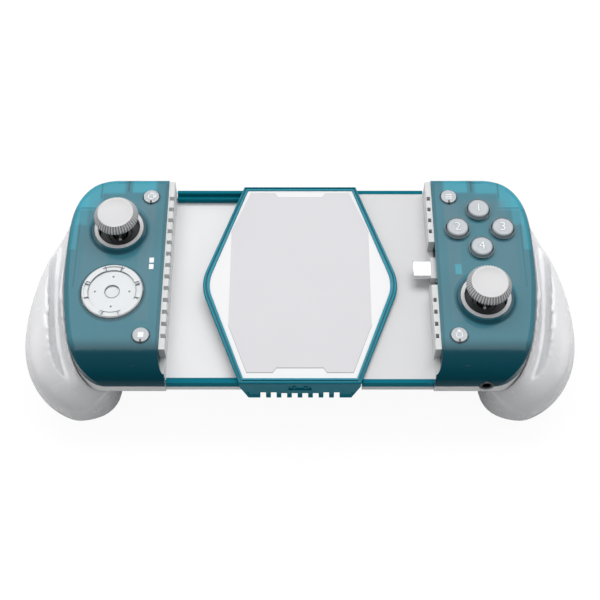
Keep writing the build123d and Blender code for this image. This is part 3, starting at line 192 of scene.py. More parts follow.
class ControllerColours(bpy.types.PropertyGroup):
    """Colours of the finishes."""
    teal: bpy.props.FloatVectorProperty(name="Teal", description="Tinted casing", subtype="COLOR", size=3,
                                        default=(0.05, 0.20, 0.255), min=0, max=1)
    # Painted shade teal for the casing's front roll and rims
    teal_deep: bpy.props.FloatVectorProperty(name="Teal painted shade", description="Painted shade on the casing's front and rims",
                                             subtype="COLOR", size=3, default=(0.0, 0.055, 0.08), min=0,
                                             max=1)
    rail: bpy.props.FloatVectorProperty(name="Rail", description="Teal of the trays' rails", subtype="COLOR",
                                        size=3, default=(0.002, 0.17, 0.235), min=0, max=1)
    frost: bpy.props.FloatVectorProperty(name="Frosted white", description="Grips and back shells",
                                         subtype="COLOR", size=3, default=(0.77, 0.78, 0.78), min=0, max=1)
    white: bpy.props.FloatVectorProperty(name="White", description="White mouldings", subtype="COLOR",
                                         size=3, default=(0.68, 0.68, 0.69), min=0, max=1)
    panel: bpy.props.FloatVectorProperty(name="Panel grey", description="Panel on the rest plate",
                                         subtype="COLOR", size=3, default=(0.70, 0.69, 0.72), min=0, max=1)
    clear: bpy.props.FloatVectorProperty(name="Clear button", description="Buttons and direction disc",
                                         subtype="COLOR", size=3, default=(0.53, 0.57, 0.61), min=0, max=1)


# Node groups shared by the finishes

def group_with(name, inputs, outputs):
    """Empty shader node group with named sockets."""
    group = bpy.data.node_groups.new(name, "ShaderNodeTree")
    for socket, kind, value in inputs:
        made = group.interface.new_socket(socket, in_out="INPUT", socket_type=kind)
        if value is not None:
            made.default_value = value
    for socket, kind in outputs:
        group.interface.new_socket(socket, in_out="OUTPUT", socket_type=kind)
    return group, group.nodes.new("NodeGroupInput"), group.nodes.new("NodeGroupOutput")


def maths(tree, operation, first, second, clamp=False):
    """Math node fed by sockets or numbers."""
    node = tree.nodes.new("ShaderNodeMath")
    node.operation = operation
    node.use_clamp = clamp
    for socket, value in zip(node.inputs, (first, second)):
        if hasattr(value, "links"):
            tree.links.new(value, socket)
        elif value is not None:
            socket.default_value = value
    return node.outputs[0]


def noise(tree, vector, scale, detail, roughness=0.5):
    """Noise texture's value on a vector."""
    node = tree.nodes.new("ShaderNodeTexNoise")
    node.inputs["Scale"].default_value = scale
    node.inputs["Detail"].default_value = detail
    node.inputs["Roughness"].default_value = roughness
    tree.links.new(vector, node.inputs["Vector"])
    return node.outputs[0]


def blend_colours(tree, mask, first, second, mode="MIX"):
    """Mix two colours by a mask."""
    node = tree.nodes.new("ShaderNodeMix")
    node.data_type = "RGBA"
    node.blend_type = mode
    for socket, value in ((node.inputs[0], mask), (node.inputs[6], first), (node.inputs[7], second)):
        if hasattr(value, "links"):
            tree.links.new(value, socket)
        elif isinstance(value, (int, float)):
            socket.default_value = value
        else:
            socket.default_value = (*value, 1)
    return node.outputs[2]


def moulded_group():
    """Clouding, fine grain and faint rubbing of a moulded surface."""
    known = bpy.data.node_groups.get("Moulded Surface")
    if known:
        return known
    group, into, out = group_with(
        "Moulded Surface",
        [("Vector", "NodeSocketVector", None), ("Colour", "NodeSocketColor", (0.5, 0.5, 0.5, 1)),
         ("Clouding", "NodeSocketFloat", 0.1), ("Roughness", "NodeSocketFloat", 0.3)],
        [("Colour", "NodeSocketColor"), ("Roughness", "NodeSocketFloat"), ("Height", "NodeSocketFloat")])
    vector = into.outputs["Vector"]
    clouds = noise(group, vector, 42, 4)
    grain = noise(group, vector, 2600, 2, 0.6)
    rubs = noise(group, vector, 260, 6, 0.7)
    shift = maths(group, "MULTIPLY", maths(group, "SUBTRACT", clouds, 0.5), into.outputs["Clouding"])
    level = maths(group, "ADD", shift, 1)
    tint = blend_colours(group, 1.0, into.outputs["Colour"], (1, 1, 1), "MULTIPLY")
    scaled = group.nodes.new("ShaderNodeVectorMath")
    scaled.operation = "SCALE"
    group.links.new(tint, scaled.inputs[0])
    group.links.new(level, scaled.inputs["Scale"])
    group.links.new(scaled.outputs[0], out.inputs["Colour"])
    worn = maths(group, "MULTIPLY", maths(group, "SUBTRACT", rubs, 0.5), 0.16)
    group.links.new(maths(group, "ADD", into.outputs["Roughness"], worn, True), out.inputs["Roughness"])
    group.links.new(maths(group, "ADD", grain, rubs), out.inputs["Height"])
    return group


def patch_group():
    """Soft-edged rectangle on the X and Y of a vector, for forms seen through tinted plastic."""
    known = bpy.data.node_groups.get("Soft Patch")
    if known:
        return known
    group, into, out = group_with(
        "Soft Patch",
        [("Vector", "NodeSocketVector", None), ("Middle", "NodeSocketVector", (0, 0, 0)),
         ("Half Width", "NodeSocketFloat", 0.003), ("Half Length", "NodeSocketFloat", 0.003),
         ("Softness", "NodeSocketFloat", 0.0004)],
        [("Mask", "NodeSocketFloat")])
    offset = group.nodes.new("ShaderNodeVectorMath")
    offset.operation = "SUBTRACT"
    group.links.new(into.outputs["Vector"], offset.inputs[0])
    group.links.new(into.outputs["Middle"], offset.inputs[1])
    parts = group.nodes.new("ShaderNodeSeparateXYZ")
    group.links.new(offset.outputs[0], parts.inputs[0])
    sides = []
    for axis, half in (("X", "Half Width"), ("Y", "Half Length")):
        away = maths(group, "ABSOLUTE", parts.outputs[axis], None)
        inside = maths(group, "SUBTRACT", into.outputs[half], away)
        sides.append(maths(group, "DIVIDE", inside, into.outputs["Softness"], True))
    group.links.new(maths(group, "MULTIPLY", sides[0], sides[1]), out.inputs["Mask"])
    return group


def halo_group():
    """Soft ring about a middle, in plan: the mask of a painted shadow ring."""
    known = bpy.data.node_groups.get("Soft Halo")
    if known:
        return known
    group, into, out = group_with(
        "Soft Halo",
        [("Vector", "NodeSocketVector", None), ("Middle", "NodeSocketVector", (0, 0, 0)),
         ("Inner", "NodeSocketFloat", 0.01), ("Outer", "NodeSocketFloat", 0.012),
         ("Softness", "NodeSocketFloat", 0.001)],
        [("Mask", "NodeSocketFloat")])
    flat = group.nodes.new("ShaderNodeVectorMath")
    flat.operation = "MULTIPLY"
    flat.inputs[1].default_value = (1, 1, 0)
    group.links.new(into.outputs["Vector"], flat.inputs[0])
    reach = group.nodes.new("ShaderNodeVectorMath")
    reach.operation = "DISTANCE"
    group.links.new(flat.outputs[0], reach.inputs[0])
    group.links.new(into.outputs["Middle"], reach.inputs[1])
    sides = []
    for first, second in ((reach.outputs["Value"], into.outputs["Inner"]),
                          (into.outputs["Outer"], reach.outputs["Value"])):
        inside = maths(group, "SUBTRACT", first, second)
        sides.append(maths(group, "DIVIDE", inside, into.outputs["Softness"], True))
    group.links.new(maths(group, "MULTIPLY", sides[0], sides[1]), out.inputs["Mask"])
    return group


def new_finish(name, colour, roughness, clouding=0.1, bump=0.02, sockets=()):
    """Principled material fed by the moulded group. Returns it, its tree, its place and its surface."""
    material = bpy.data.materials.new(name)
    material.use_nodes = True
    tree = material.node_tree
    shader = tree.nodes["Principled BSDF"]
    place = tree.nodes.new("ShaderNodeTexCoord").outputs["Object"]
    surface = tree.nodes.new("ShaderNodeGroup")
    surface.node_tree = moulded_group()
    tree.links.new(place, surface.inputs["Vector"])
    surface.inputs["Colour"].default_value = (*colour, 1)
    surface.inputs["Clouding"].default_value = clouding
    surface.inputs["Roughness"].default_value = roughness
    tree.links.new(surface.outputs["Colour"], shader.inputs["Base Color"])
    tree.links.new(surface.outputs["Roughness"], shader.inputs["Roughness"])
    height = tree.nodes.new("ShaderNodeBump")
    height.inputs["Strength"].default_value = bump
    height.inputs["Distance"].default_value = 0.1 * MM
    tree.links.new(surface.outputs["Height"], height.inputs["Height"])
    tree.links.new(height.outputs["Normal"], shader.inputs["Normal"])
    for socket, value in sockets:
        shader.inputs[socket].default_value = value
    return material, tree, place, surface


def axis_mask(tree, place, axis, fade):
    """0 below the first place of a fade along an axis and 1 above the second, smoothly."""
    parts = tree.nodes.new("ShaderNodeSeparateXYZ")
    tree.links.new(place, parts.inputs[0])
    span = tree.nodes.new("ShaderNodeMapRange")
    span.interpolation_type = "SMOOTHSTEP"
    span.inputs["From Min"].default_value = fade[0] * MM
    span.inputs["From Max"].default_value = fade[1] * MM
    tree.links.new(parts.outputs[axis], span.inputs["Value"])
    return span.outputs["Result"]


def tinted_shell(name, forms, painted_shadow_rings):
    """Tinted see-through casing: teal on its flat face, painted shade at its front and rims, painted shadow
    rings round the controls, with faint forms inside.
    """
    colours = bpy.context.scene.controller_colours
    material, tree, place, surface = new_finish(
        name, colours.teal, 0.16, 0.18, 0.01,
        [("Coat Weight", 0.02), ("Coat Roughness", 0.04), ("IOR", 1.5), ("Specular IOR Level", 0.18)])
    colour = colours.teal
    for (x, y), (half_x, half_y), shade, amount in forms:
        patch = tree.nodes.new("ShaderNodeGroup")
        patch.node_tree = patch_group()
        patch.inputs["Middle"].default_value = (x * MM, y * MM, 0)
        patch.inputs["Half Width"].default_value = half_x * MM
        patch.inputs["Half Length"].default_value = half_y * MM
        patch.inputs["Softness"].default_value = (0.15 + 0.3 * min(half_x, half_y)) * MM
        tree.links.new(place, patch.inputs["Vector"])
        mask = maths(tree, "MULTIPLY", patch.outputs["Mask"], amount)
        colour = blend_colours(tree, mask, colour, shade)
    # Painted shadow rings round the controls
    for (x, y), inner, outer, amount in painted_shadow_rings:
        shadow_ring = tree.nodes.new("ShaderNodeGroup")
        shadow_ring.node_tree = halo_group()
        shadow_ring.inputs["Middle"].default_value = (x * MM, y * MM, 0)
        shadow_ring.inputs["Inner"].default_value = inner * MM
        shadow_ring.inputs["Outer"].default_value = outer * MM
        shadow_ring.inputs["Softness"].default_value = 0.3 * (outer - inner) * MM
        tree.links.new(place, shadow_ring.inputs["Vector"])
        mask = maths(tree, "MULTIPLY", shadow_ring.outputs["Mask"], amount)
        colour = blend_colours(tree, mask, colour, SHELL_PAINTED_SHADOW)
    # Painted shade: the casing's front roll and the rims below its flat face go to the shade teal
    for axis, fade in (("Y", SHELL_FRONT_SHADE_FADE), ("Z", SHELL_RIM_SHADE_FADE)):
        colour = blend_colours(tree, axis_mask(tree, place, axis, fade), colours.teal_deep, colour)
    tree.links.new(colour, surface.inputs["Colour"])
    return material


def cap_finish():
    """White thumb cap with painted shade in its grooves, which an attribute of the mesh names."""
    material, tree, _, surface = new_finish("Thumb Cap White", CAP_WHITE, 0.36, 0.06, 0.06)
    groove = tree.nodes.new("ShaderNodeAttribute")
    groove.attribute_name = "groove"
    # Painted shade in the rib grooves
    colour = blend_colours(tree, groove.outputs["Fac"], CAP_WHITE, CAP_GROOVE_SHADE)
    tree.links.new(colour, surface.inputs["Colour"])
    return material


def ring_finish():
    """Teal of the hexagonal ring: a painted highlight on its top and painted shade in its groove, its wall
    teal between.
    """
    material, tree, place, surface = new_finish(
        "Ring Teal", RING_TEAL, 0.2, 0.12, 0.01, [("Specular IOR Level", 0.15)])
    colour = RING_WALL
    # Painted shade in the groove and painted light on the top
    for fade, shade in ((RING_GROOVE_SHADE_FADE, RING_GROOVE_SHADE), (RING_TOP_LIGHT_FADE, RING_TOP_LIGHT)):
        colour = blend_colours(tree, axis_mask(tree, place, "Z", fade), colour, shade)
    tree.links.new(colour, surface.inputs["Colour"])
    return material


def ribbed_metal(name, colour, roughness, spacing, metallic=1.0):
    """Metal with fine drawn lines."""
    material, tree, place, surface = new_finish(name, colour, roughness, 0.06, 0.03,
                                                [("Metallic", metallic)])
    wave = tree.nodes.new("ShaderNodeTexWave")
    wave.inputs["Scale"].default_value = 1 / spacing
    wave.inputs["Distortion"].default_value = 2
    tree.links.new(place, wave.inputs["Vector"])
    streak = maths(tree, "MULTIPLY", wave.outputs["Fac"], 0.08)
    rough = maths(tree, "ADD", surface.outputs["Roughness"], streak)
    tree.links.new(rough, tree.nodes["Principled BSDF"].inputs["Roughness"])
    return material


def board_finish():
    """Green circuit board with copper tracks."""
    material, tree, place, surface = new_finish("Board Green", (0.01, 0.11, 0.05), 0.4, 0.15)
    tracks = tree.nodes.new("ShaderNodeTexBrick")
    tracks.inputs["Scale"].default_value = 260
    tracks.inputs["Color1"].default_value = (0.01, 0.12, 0.05, 1)
    tracks.inputs["Color2"].default_value = (0.01, 0.10, 0.045, 1)
    tracks.inputs["Mortar"].default_value = (0.35, 0.26, 0.08, 1)
    tracks.inputs["Mortar Size"].default_value = 0.035
    tree.links.new(place, tracks.inputs["Vector"])
    tree.links.new(tracks.outputs["Color"], surface.inputs["Colour"])
    return material


def panel_finish():
    """Matt grey panel with a fine pebbled grain."""
    colours = bpy.context.scene.controller_colours
    material, tree, place, surface = new_finish("Panel Grey", colours.panel, 0.42, 0.03, 0.1)
    pebbles = tree.nodes.new("ShaderNodeTexVoronoi")
    pebbles.inputs["Scale"].default_value = 2200
    tree.links.new(place, pebbles.inputs["Vector"])
    height = maths(tree, "ADD", pebbles.outputs["Distance"], surface.outputs["Height"])
    tree.links.new(height, tree.nodes["Bump"].inputs["Height"])
    return material


# Mesh helpers

def finished(name, shape, material, body, smooth=True):
    """Object from a bmesh, closed, facing outwards, with its finish and its body."""
    bmesh.ops.remove_doubles(shape, verts=shape.verts, dist=1e-7)
    bmesh.ops.recalc_face_normals(shape, faces=shape.faces)
    mesh = bpy.data.meshes.new(name)
    shape.to_mesh(mesh)
    shape.free()
    for face in mesh.polygons:
        face.use_smooth = smooth
    return placed(name, mesh, material, body)


def placed(name, mesh, material, body):
    """Object from a mesh that already holds its place."""
    piece = bpy.data.objects.new(name, mesh)
    bpy.context.scene.collection.objects.link(piece)
    mesh.materials.clear()
    mesh.materials.append(material)
    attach(piece, body)
    return piece


def raise_ring(shape, edges, radius_scale, rise, centre):
    """Extrudes a loop of edges, scales it about the centre and lifts it. Returns the new edges."""
    made = bmesh.ops.extrude_edge_only(shape, edges=edges)["geom"]
    points = [v for v in made if isinstance(v, bmesh.types.BMVert)]
    turn = Matrix.Translation(-Vector((centre[0], centre[1], 0)))
    bmesh.ops.scale(shape, verts=points, vec=(radius_scale, radius_scale, 1), space=turn)
    bmesh.ops.translate(shape, verts=points, vec=(0, 0, rise))
    return [e for e in made if isinstance(e, bmesh.types.BMEdge)]


def lathe(shape, centre, profile, segments):
    """Round shape through (radius, height) pairs by extruding a circle."""
    x, y = centre
    radius, level = profile[0]
    made = bmesh.ops.create_circle(shape, segments=segments, radius=radius,
                                   matrix=Matrix.Translation((x, y, level)))
    edges = list({e for v in made["verts"] for e in v.link_edges})
    rings = [list(made["verts"])]
    for new_radius, new_level in profile[1:]:
        edges = raise_ring(shape, edges, new_radius / radius, new_level - level, centre)
        rings.append(list({v for e in edges for v in e.verts}))
        radius, level = new_radius, new_level
    return rings, edges


def mark_from_bars(name, bars, centre, top, body, material, depth=0):
    """Raised mark of flat bars (x, y, width, length) about a centre, reaching down by a depth."""
    sizes = bpy.context.scene.controller_sizes
    level = top + (sizes.mark_height - depth) / 2
    shape = bmesh.new()
    for x, y, width, length in bars:
        turn = Matrix.Translation((centre[0] + x * MM, centre[1] + y * MM, level))
        spread = Matrix.Diagonal((width * MM, length * MM, sizes.mark_height + depth, 1))
        made = bmesh.ops.create_cube(shape, size=1, matrix=turn @ spread)
        edges = list({e for v in made["verts"] for e in v.link_edges})
        bmesh.ops.bevel(shape, geom=edges, offset=sizes.mark_height * 0.3, segments=1, affect="EDGES",
                        profile=0.5, material=-1)
    return finished(name, shape, material, body, False)


def node_centre(node):
    """Middle of a CAD node in plan and its highest level."""
    low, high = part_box(node)
    return ((low[0] + high[0]) / 2, (low[1] + high[1]) / 2), high[2]


# Operators

class CONTROLLER_OT_finishes(bpy.types.Operator):
    """Gives every CAD node its finish"""
    bl_idname = "controller.finishes"
    bl_label = "Finishes"

    def execute(self, context):
        colours = context.scene.controller_colours
        forms = {side: inner_forms(sign) for side, sign in (("left", -1), ("right", 1))}
        forms["right"].append(RIGHT_LIGHT)
        frost = [("Subsurface Weight", 0.25), ("Subsurface Scale", 0.004), EVEN_SCATTER,
                 ("Coat Weight", 0.6), ("Coat Roughness", 0.12)]
        clear = [("Transmission Weight", 0.2), ("IOR", 1.49), ("Coat Weight", 0.25),
                 ("Coat Roughness", 0.05)]
        dull = [("Specular IOR Level", 0.02)]
        special = {"bridge_frame": "teal_ring", "left_tray": "channel_painted_light", "dpad_disc": "disc_clear",
                   "bridge_plate": "plate_white", "left_stick_yoke": "mechanism",
                   "right_stick_yoke": "mechanism"}
        table = {
            "teal_shell_left": tinted_shell("Tinted Shell Left", forms["left"], button_halos("left")),
            "teal_shell_right": tinted_shell("Tinted Shell Right", forms["right"], button_halos("right")),
            "teal_ring": ring_finish(),
            "teal_rail": new_finish("Rail Teal", colours.rail, 0.3, 0.12, 0.01, dull)[0],
            "clear_white": new_finish("Frosted White", colours.frost, 0.24, 0.08, 0.02, frost)[0],
            "white_plastic": new_finish("Tray White", colours.white, 0.34, 0.05, 0.04)[0],
            "plate_white": new_finish("Plate White", BRIGHT_WHITE, 0.34, 0.05, 0.04)[0],
            "disc_clear": new_finish("Clear Disc", (0.82, 0.85, 0.87), 0.1, 0.06, 0.01, clear)[0],
            # Lighter copy of the tray white for the left tray, painted light against the shade of its deep
            # channel
            "channel_painted_light": new_finish("Channel White Painted Light", BRIGHT_WHITE, 0.34, 0.05, 0.04)[0],
            "gear_white": new_finish("Gear White", (0.78, 0.77, 0.72), 0.4, 0.06, 0.03)[0],
            "pad_rubber": new_finish("Strip White", (0.72, 0.73, 0.73), 0.5, 0.08, 0.1)[0],
            "grey_film": panel_finish(),
            "steel": ribbed_metal("Screw Steel", (0.6, 0.6, 0.62), 0.3, 0.0006),
            "plug_steel": ribbed_metal("Plug Steel", (0.92, 0.92, 0.93), 0.24, 0.0009, 0.5),
            "board": board_finish(),
            "switch": new_finish("Switch Black", (0.02, 0.02, 0.022), 0.35, 0.2, 0.05)[0],
            "mechanism": new_finish("Mechanism Grey", (0.02, 0.022, 0.024), 0.5, 0.2, 0.05)[0],
            "clear_button": new_finish("Clear Button", colours.clear, 0.12, 0.1, 0.01, clear)[0],
            "cap_rubber": cap_finish(),
            "window_white": new_finish("Window White", (0.85, 0.88, 0.9), 0.2, 0.03, 0.01)[0],
            "line_grey": new_finish("Line Grey", (0.20, 0.25, 0.26), 0.3, 0.1, 0.02)[0],
            "jack_black": new_finish("Socket Black", (0.006, 0.009, 0.012), 0.3, 0.2, 0.05)[0],
        }
        for part in frame["record"]["subparts"]:
            node, kind = part["node"], part["material_slot"]
            kind = special.get(node, "teal_shell_" + node.split("_")[0] if kind == "teal_shell" else kind)
            piece = frame["nodes"][node]
            if not piece.material_slots:
                piece.data.materials.append(table[kind])
            for place in piece.material_slots:
                place.material = table[kind]
        return {"FINISHED"}


def inner_forms(sign):
    """Soft patches of one half: what shows through the tinted casing, as (middle, halves, shade, share)."""
    dark = (0.0, 0.07, 0.10)
    grey = (0.11, 0.21, 0.26)
    pale = (0.05, 0.42, 0.55)
    rows = [((90, 37.5), (6.5, 8), pale, 0.6), ((92, 30), (3, 8), pale, 0.35),
            ((79.5, 42.5), (5.6, 4.6), pale, 0.55), ((66.5, 42.5), (5.8, 4), pale, 0.6),
            ((94.5, 20), (1.8, 10), pale, 0.4), ((73.2, 43), (0.4, 3.4), dark, 0.5),
            ((84.6, 41), (0.35, 5), dark, 0.45), ((88.5, 31.2), (4.5, 0.35), dark, 0.6),
            ((76, 44.2), (2.2, 0.3), dark, 0.45), ((64, 6), (3.5, 30), grey, 0.35),
            ((85, 6), (6, 14), grey, 0.3), ((74, 30), (14, 6), grey, 0.35),
            ((92.5, 8), (0.5, 16), dark, 0.25), ((76, 46.3), (22, 0.8), dark, 0.7),
            ((57, 4), (0.8, 40), dark, 0.35)]
    return [((sign * x, y), halves, shade, share) for (x, y), halves, shade, share in rows]


def button_halos(side):
    """Painted shadow rings round the controls of one half, shifted to the front, as (middle, inner, outer,
    share).
    """
    small = (0.9, 0.2, 0.6)
    sizes = {"stick_ring": (2.2, 0.8, 0.8), "dpad_disc": (1.5, 0.4, 0.6), "face_button": (1.2, 0.3, 0.6),
             "view_button": small, "capture_button": small, "menu_button": small, "home_button": small}
    flange, overlap = 0.9, 0.6
    painted_shadow_rings = []
    for node in frame["nodes"]:
        kind = next((name for name in sizes if name in node), None)
        low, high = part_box(node)
        if kind and (high[0] < 0) == (side == "left"):
            spread, shift, share = sizes[kind]
            reach = DISC_SLOPE_RADIUS
            if kind != "dpad_disc":
                reach = (high[0] - low[0]) / 2 / MM - (flange if "button" in kind else 0)
            middle = ((low[0] + high[0]) / 2 / MM, (low[1] + high[1]) / 2 / MM - shift)
            painted_shadow_rings.append((middle, reach - overlap, reach + spread, share))
    return painted_shadow_rings


class CONTROLLER_OT_grips(bpy.types.Operator):
    """Smooth frosted grips over the CAD ones"""
    bl_idname = "controller.grips"
    bl_label = "Grips"

    def execute(self, context):
        sizes = context.scene.controller_sizes
        for side in ("left", "right"):
            node = side + "_grip"
            source = frame["nodes"][node]
            shape = bmesh.new()
            shape.from_mesh(source.data)
            bmesh.ops.remove_doubles(shape, verts=shape.verts, dist=1e-6)
            drop_inner_skin(shape)
            piece = finished(side + "_grip_skin", shape, grip_finish(), side + "_half")
            remesh = piece.modifiers.new("Even skin", "REMESH")
            remesh.mode = "VOXEL"
            remesh.voxel_size = sizes.grip_voxel
            remesh.use_smooth_shade = True
            smooth = piece.modifiers.new("Soften", "SMOOTH")
            smooth.factor = 0.5
            smooth.iterations = 14
            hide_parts(node)
        return {"FINISHED"}


def drop_inner_skin(shape):
    """Keeps only the island of faces that reaches furthest out."""
    islands = []
    left_over = set(shape.verts)
    while left_over:
        island, edge = set(), {left_over.pop()}
        while edge:
            island |= edge
            edge = {e.other_vert(v) for v in edge for e in v.link_edges} - island
        left_over -= island
        islands.append(island)
    islands.sort(key=lambda island: max(abs(v.co.x) for v in island))
    hidden = [v for island in islands[:-1] for v in island]
    bmesh.ops.delete(shape, geom=hidden, context="VERTS")


def grip_finish():
    """Frosted grip with painted shade and light: greyer low down, paler at the crest."""
    known = bpy.data.materials.get("Frosted Grip")
    if known:
        return known
    colours = bpy.context.scene.controller_colours
    material, tree, place, surface = new_finish(
        "Frosted Grip", colours.frost, 0.26, 0.1, 0.02,
        [("Subsurface Weight", 0.3), ("Subsurface Scale", 0.006), EVEN_SCATTER,
         ("Coat Weight", 0.7), ("Coat Roughness", 0.1)])
    # Painted shade low on the grip and painted light at its crest
    colour = blend_colours(tree, axis_mask(tree, place, "Z", GRIP_SHADE_FADE), GRIP_LOW_SHADE, GRIP_CREST_LIGHT)
    tree.links.new(colour, surface.inputs["Colour"])
    return material


class CONTROLLER_OT_thumb_caps(bpy.types.Operator):
    """Ribbed thumb caps with a dished top and a raised rim"""
    bl_idname = "controller.thumb_caps"
    bl_label = "Thumb caps"

    def execute(self, context):
        sizes = context.scene.controller_sizes
        for side in ("left", "right"):
            node = side + "_stick_cap"
            centre, top = node_centre(node)
            low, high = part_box(node)
            radius = (high[0] - low[0]) / 2 - CAP_MARGIN * MM
            foot = top - CAP_FOOT_DROP * MM
            base = top - CAP_SKIRT_DROP * MM
            crown = radius * CAP_CROWN_SHARE
            profile = [(CAP_BORE * MM, foot), (CAP_STEM * MM, foot), (CAP_STEM * MM, base)]
            profile += [(radius * share, base + rise * MM) for share, rise in CAP_SIDE]
            profile += [(crown + out * MM, top - drop * MM) for out, drop in CAP_RIM]
            profile += [(crown * share, top - sizes.dish_depth * deep) for share, deep in CAP_DISH]
            shape = bmesh.new()
            groove = shape.verts.layers.float.new("groove")
            rings, edges = lathe(shape, centre, profile, 4 * sizes.rib_count)
            bmesh.ops.holes_fill(shape, edges=edges, sides=0)
            bottom = [e for e in shape.edges if e.is_boundary]
            bmesh.ops.holes_fill(shape, edges=bottom, sides=0)
            for ring in rings[CAP_RIBBED_RINGS]:
                for v in ring:
                    spot = Vector((v.co.x - centre[0], v.co.y - centre[1]))
                    turn = spot.angle_signed(Vector((1, 0))) / (2 * pi)
                    if round(turn * 4 * sizes.rib_count) % 4 in (0, 1):
                        share = 1 - sizes.rib_depth * 1.6 / radius
                        v.co.x = centre[0] + spot.x * share
                        v.co.y = centre[1] + spot.y * share
                        v[groove] = 1
            material = bpy.data.materials["Thumb Cap White"]
            piece = finished(node + "_skin", shape, material, side + "_stick")
            piece.data.set_sharp_from_angle(angle=radians(38))
            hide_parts(node)
        return {"FINISHED"}


def number_mesh(words, spread):
    """Flat raised number, thickened by an offset."""
    sizes = bpy.context.scene.controller_sizes
    curve = bpy.data.curves.new("number", "FONT")
    curve.body = words
    curve.size = sizes.mark_size
    curve.align_x = "CENTER"
    curve.align_y = "CENTER"
    curve.extrude = sizes.mark_height / 2
    curve.offset = spread
    maker = bpy.data.objects.new("number_maker", curve)
    bpy.context.scene.collection.objects.link(maker)
    mesh = bpy.data.meshes.new_from_object(maker)
    bpy.data.objects.remove(maker)
    return mesh


def band_ring(shape, centre, radius, level, half_width, count=96):
    """Thin square band along a circle, sunk half into what carries it."""
    inner, outer = radius - half_width, radius + half_width
    lower, upper = level - half_width, level + half_width
    corners = ((inner, lower), (outer, lower), (outer, upper), (inner, upper))
    sections = []
    for i in range(count):
        angle = 2 * pi * i / count
        sections.append([shape.verts.new((centre[0] + r * cos(angle), centre[1] + r * sin(angle), z))
                         for r, z in corners])
    for first, second in zip(sections, sections[1:] + sections[:1]):
        for i in range(4):
            j = (i + 1) % 4
            shape.faces.new((first[i], first[j], second[j], second[i]))


class CONTROLLER_OT_button_marks(bpy.types.Operator):
    """Plain numbers on the face buttons and simple marks on the small ones"""
    bl_idname = "controller.button_marks"
    bl_label = "Button marks"

    def execute(self, context):
        sizes = context.scene.controller_sizes
        white = bpy.data.materials["Window White"]
        grey = bpy.data.materials["Line Grey"]
        black = bpy.data.materials["Socket Black"]
        line_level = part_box("right_front_shell")[1][2] + BUTTON_LINE_RISE * MM
        for number in range(1, 5):
            node = "face_button_" + str(number)
            centre, top = node_centre(node)
            for name, spread, rise, finish in (("number_shade_", NUMBER_SHADE_SPREAD * MM, -0.2, grey),
                                               ("number_mark_", 0.0, 0.5, white)):
                mesh = number_mesh(str(number), spread)
                level = top + rise * sizes.mark_height
                mesh.transform(Matrix.Translation((centre[0], centre[1], level)))
                placed(name + str(number), mesh, finish, node)
            ring = bmesh.new()
            low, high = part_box(node)
            band_ring(ring, centre, (high[0] - low[0]) / 2, line_level, BUTTON_LINE_HALF * MM)
            finished("button_line_" + str(number), ring, grey, node)
        for node, bars in SMALL_MARKS.items():
            centre, top = node_centre(node)
            wide = [tuple(SMALL_MARK_SCALE * value for value in bar) for bar in bars]
            mark_from_bars(node + "_mark", wide, centre, top - sizes.mark_height / 4, node, white)
            # Black bar of painted shade in each small button's notch
            mark_from_bars(node + "_notch_shade", NOTCH_SHADE_BARS, centre, top, node, black, NOTCH_SHADE_DEPTH * MM)
        return {"FINISHED"}


class CONTROLLER_OT_direction_marks(bpy.types.Operator):
    """Dots, rays and a ring on the direction disc"""
    bl_idname = "controller.direction_marks"
    bl_label = "Direction marks"

    def execute(self, context):
        centre, top = node_centre("dpad_disc")
        sizes = context.scene.controller_sizes
        grey = bpy.data.materials["Line Grey"]
        half = sizes.line_width * 0.4
        shape = bmesh.new()
        for i in range(4):
            angle = i * pi / 2
            place = Matrix.Translation((centre[0] + DOT_REACH * MM * cos(angle),
                                        centre[1] + DOT_REACH * MM * sin(angle), top - DOT_DROP * MM))
            bmesh.ops.create_cone(shape, cap_ends=True, segments=20, radius1=0.5 * MM, radius2=0.42 * MM,
                                  depth=0.2 * MM, matrix=place)
        finished("direction_dots", shape, grey, "dpad")
        shape = bmesh.new()
        for radius, drop in DISC_RINGS:
            band_ring(shape, centre, radius * MM, top - drop * MM, half)
        reach = sum(RAY_ENDS) / 2 * MM
        spread = Matrix.Diagonal((*(value * MM for value in RAY_SIZE), 1))
        for i in range(4):
            for turn in (-RAY_TURN, RAY_TURN):
                angle = i * pi / 2 + turn
                place = Matrix.Translation((centre[0] + reach * cos(angle), centre[1] + reach * sin(angle),
                                            top - RAY_DROP * MM))
                turned = place @ Matrix.Rotation(angle, 4, "Z")
                bmesh.ops.create_cube(shape, size=1, matrix=turned @ spread)
        finished("direction_lines", shape, grey, "dpad", False)
        return {"FINISHED"}


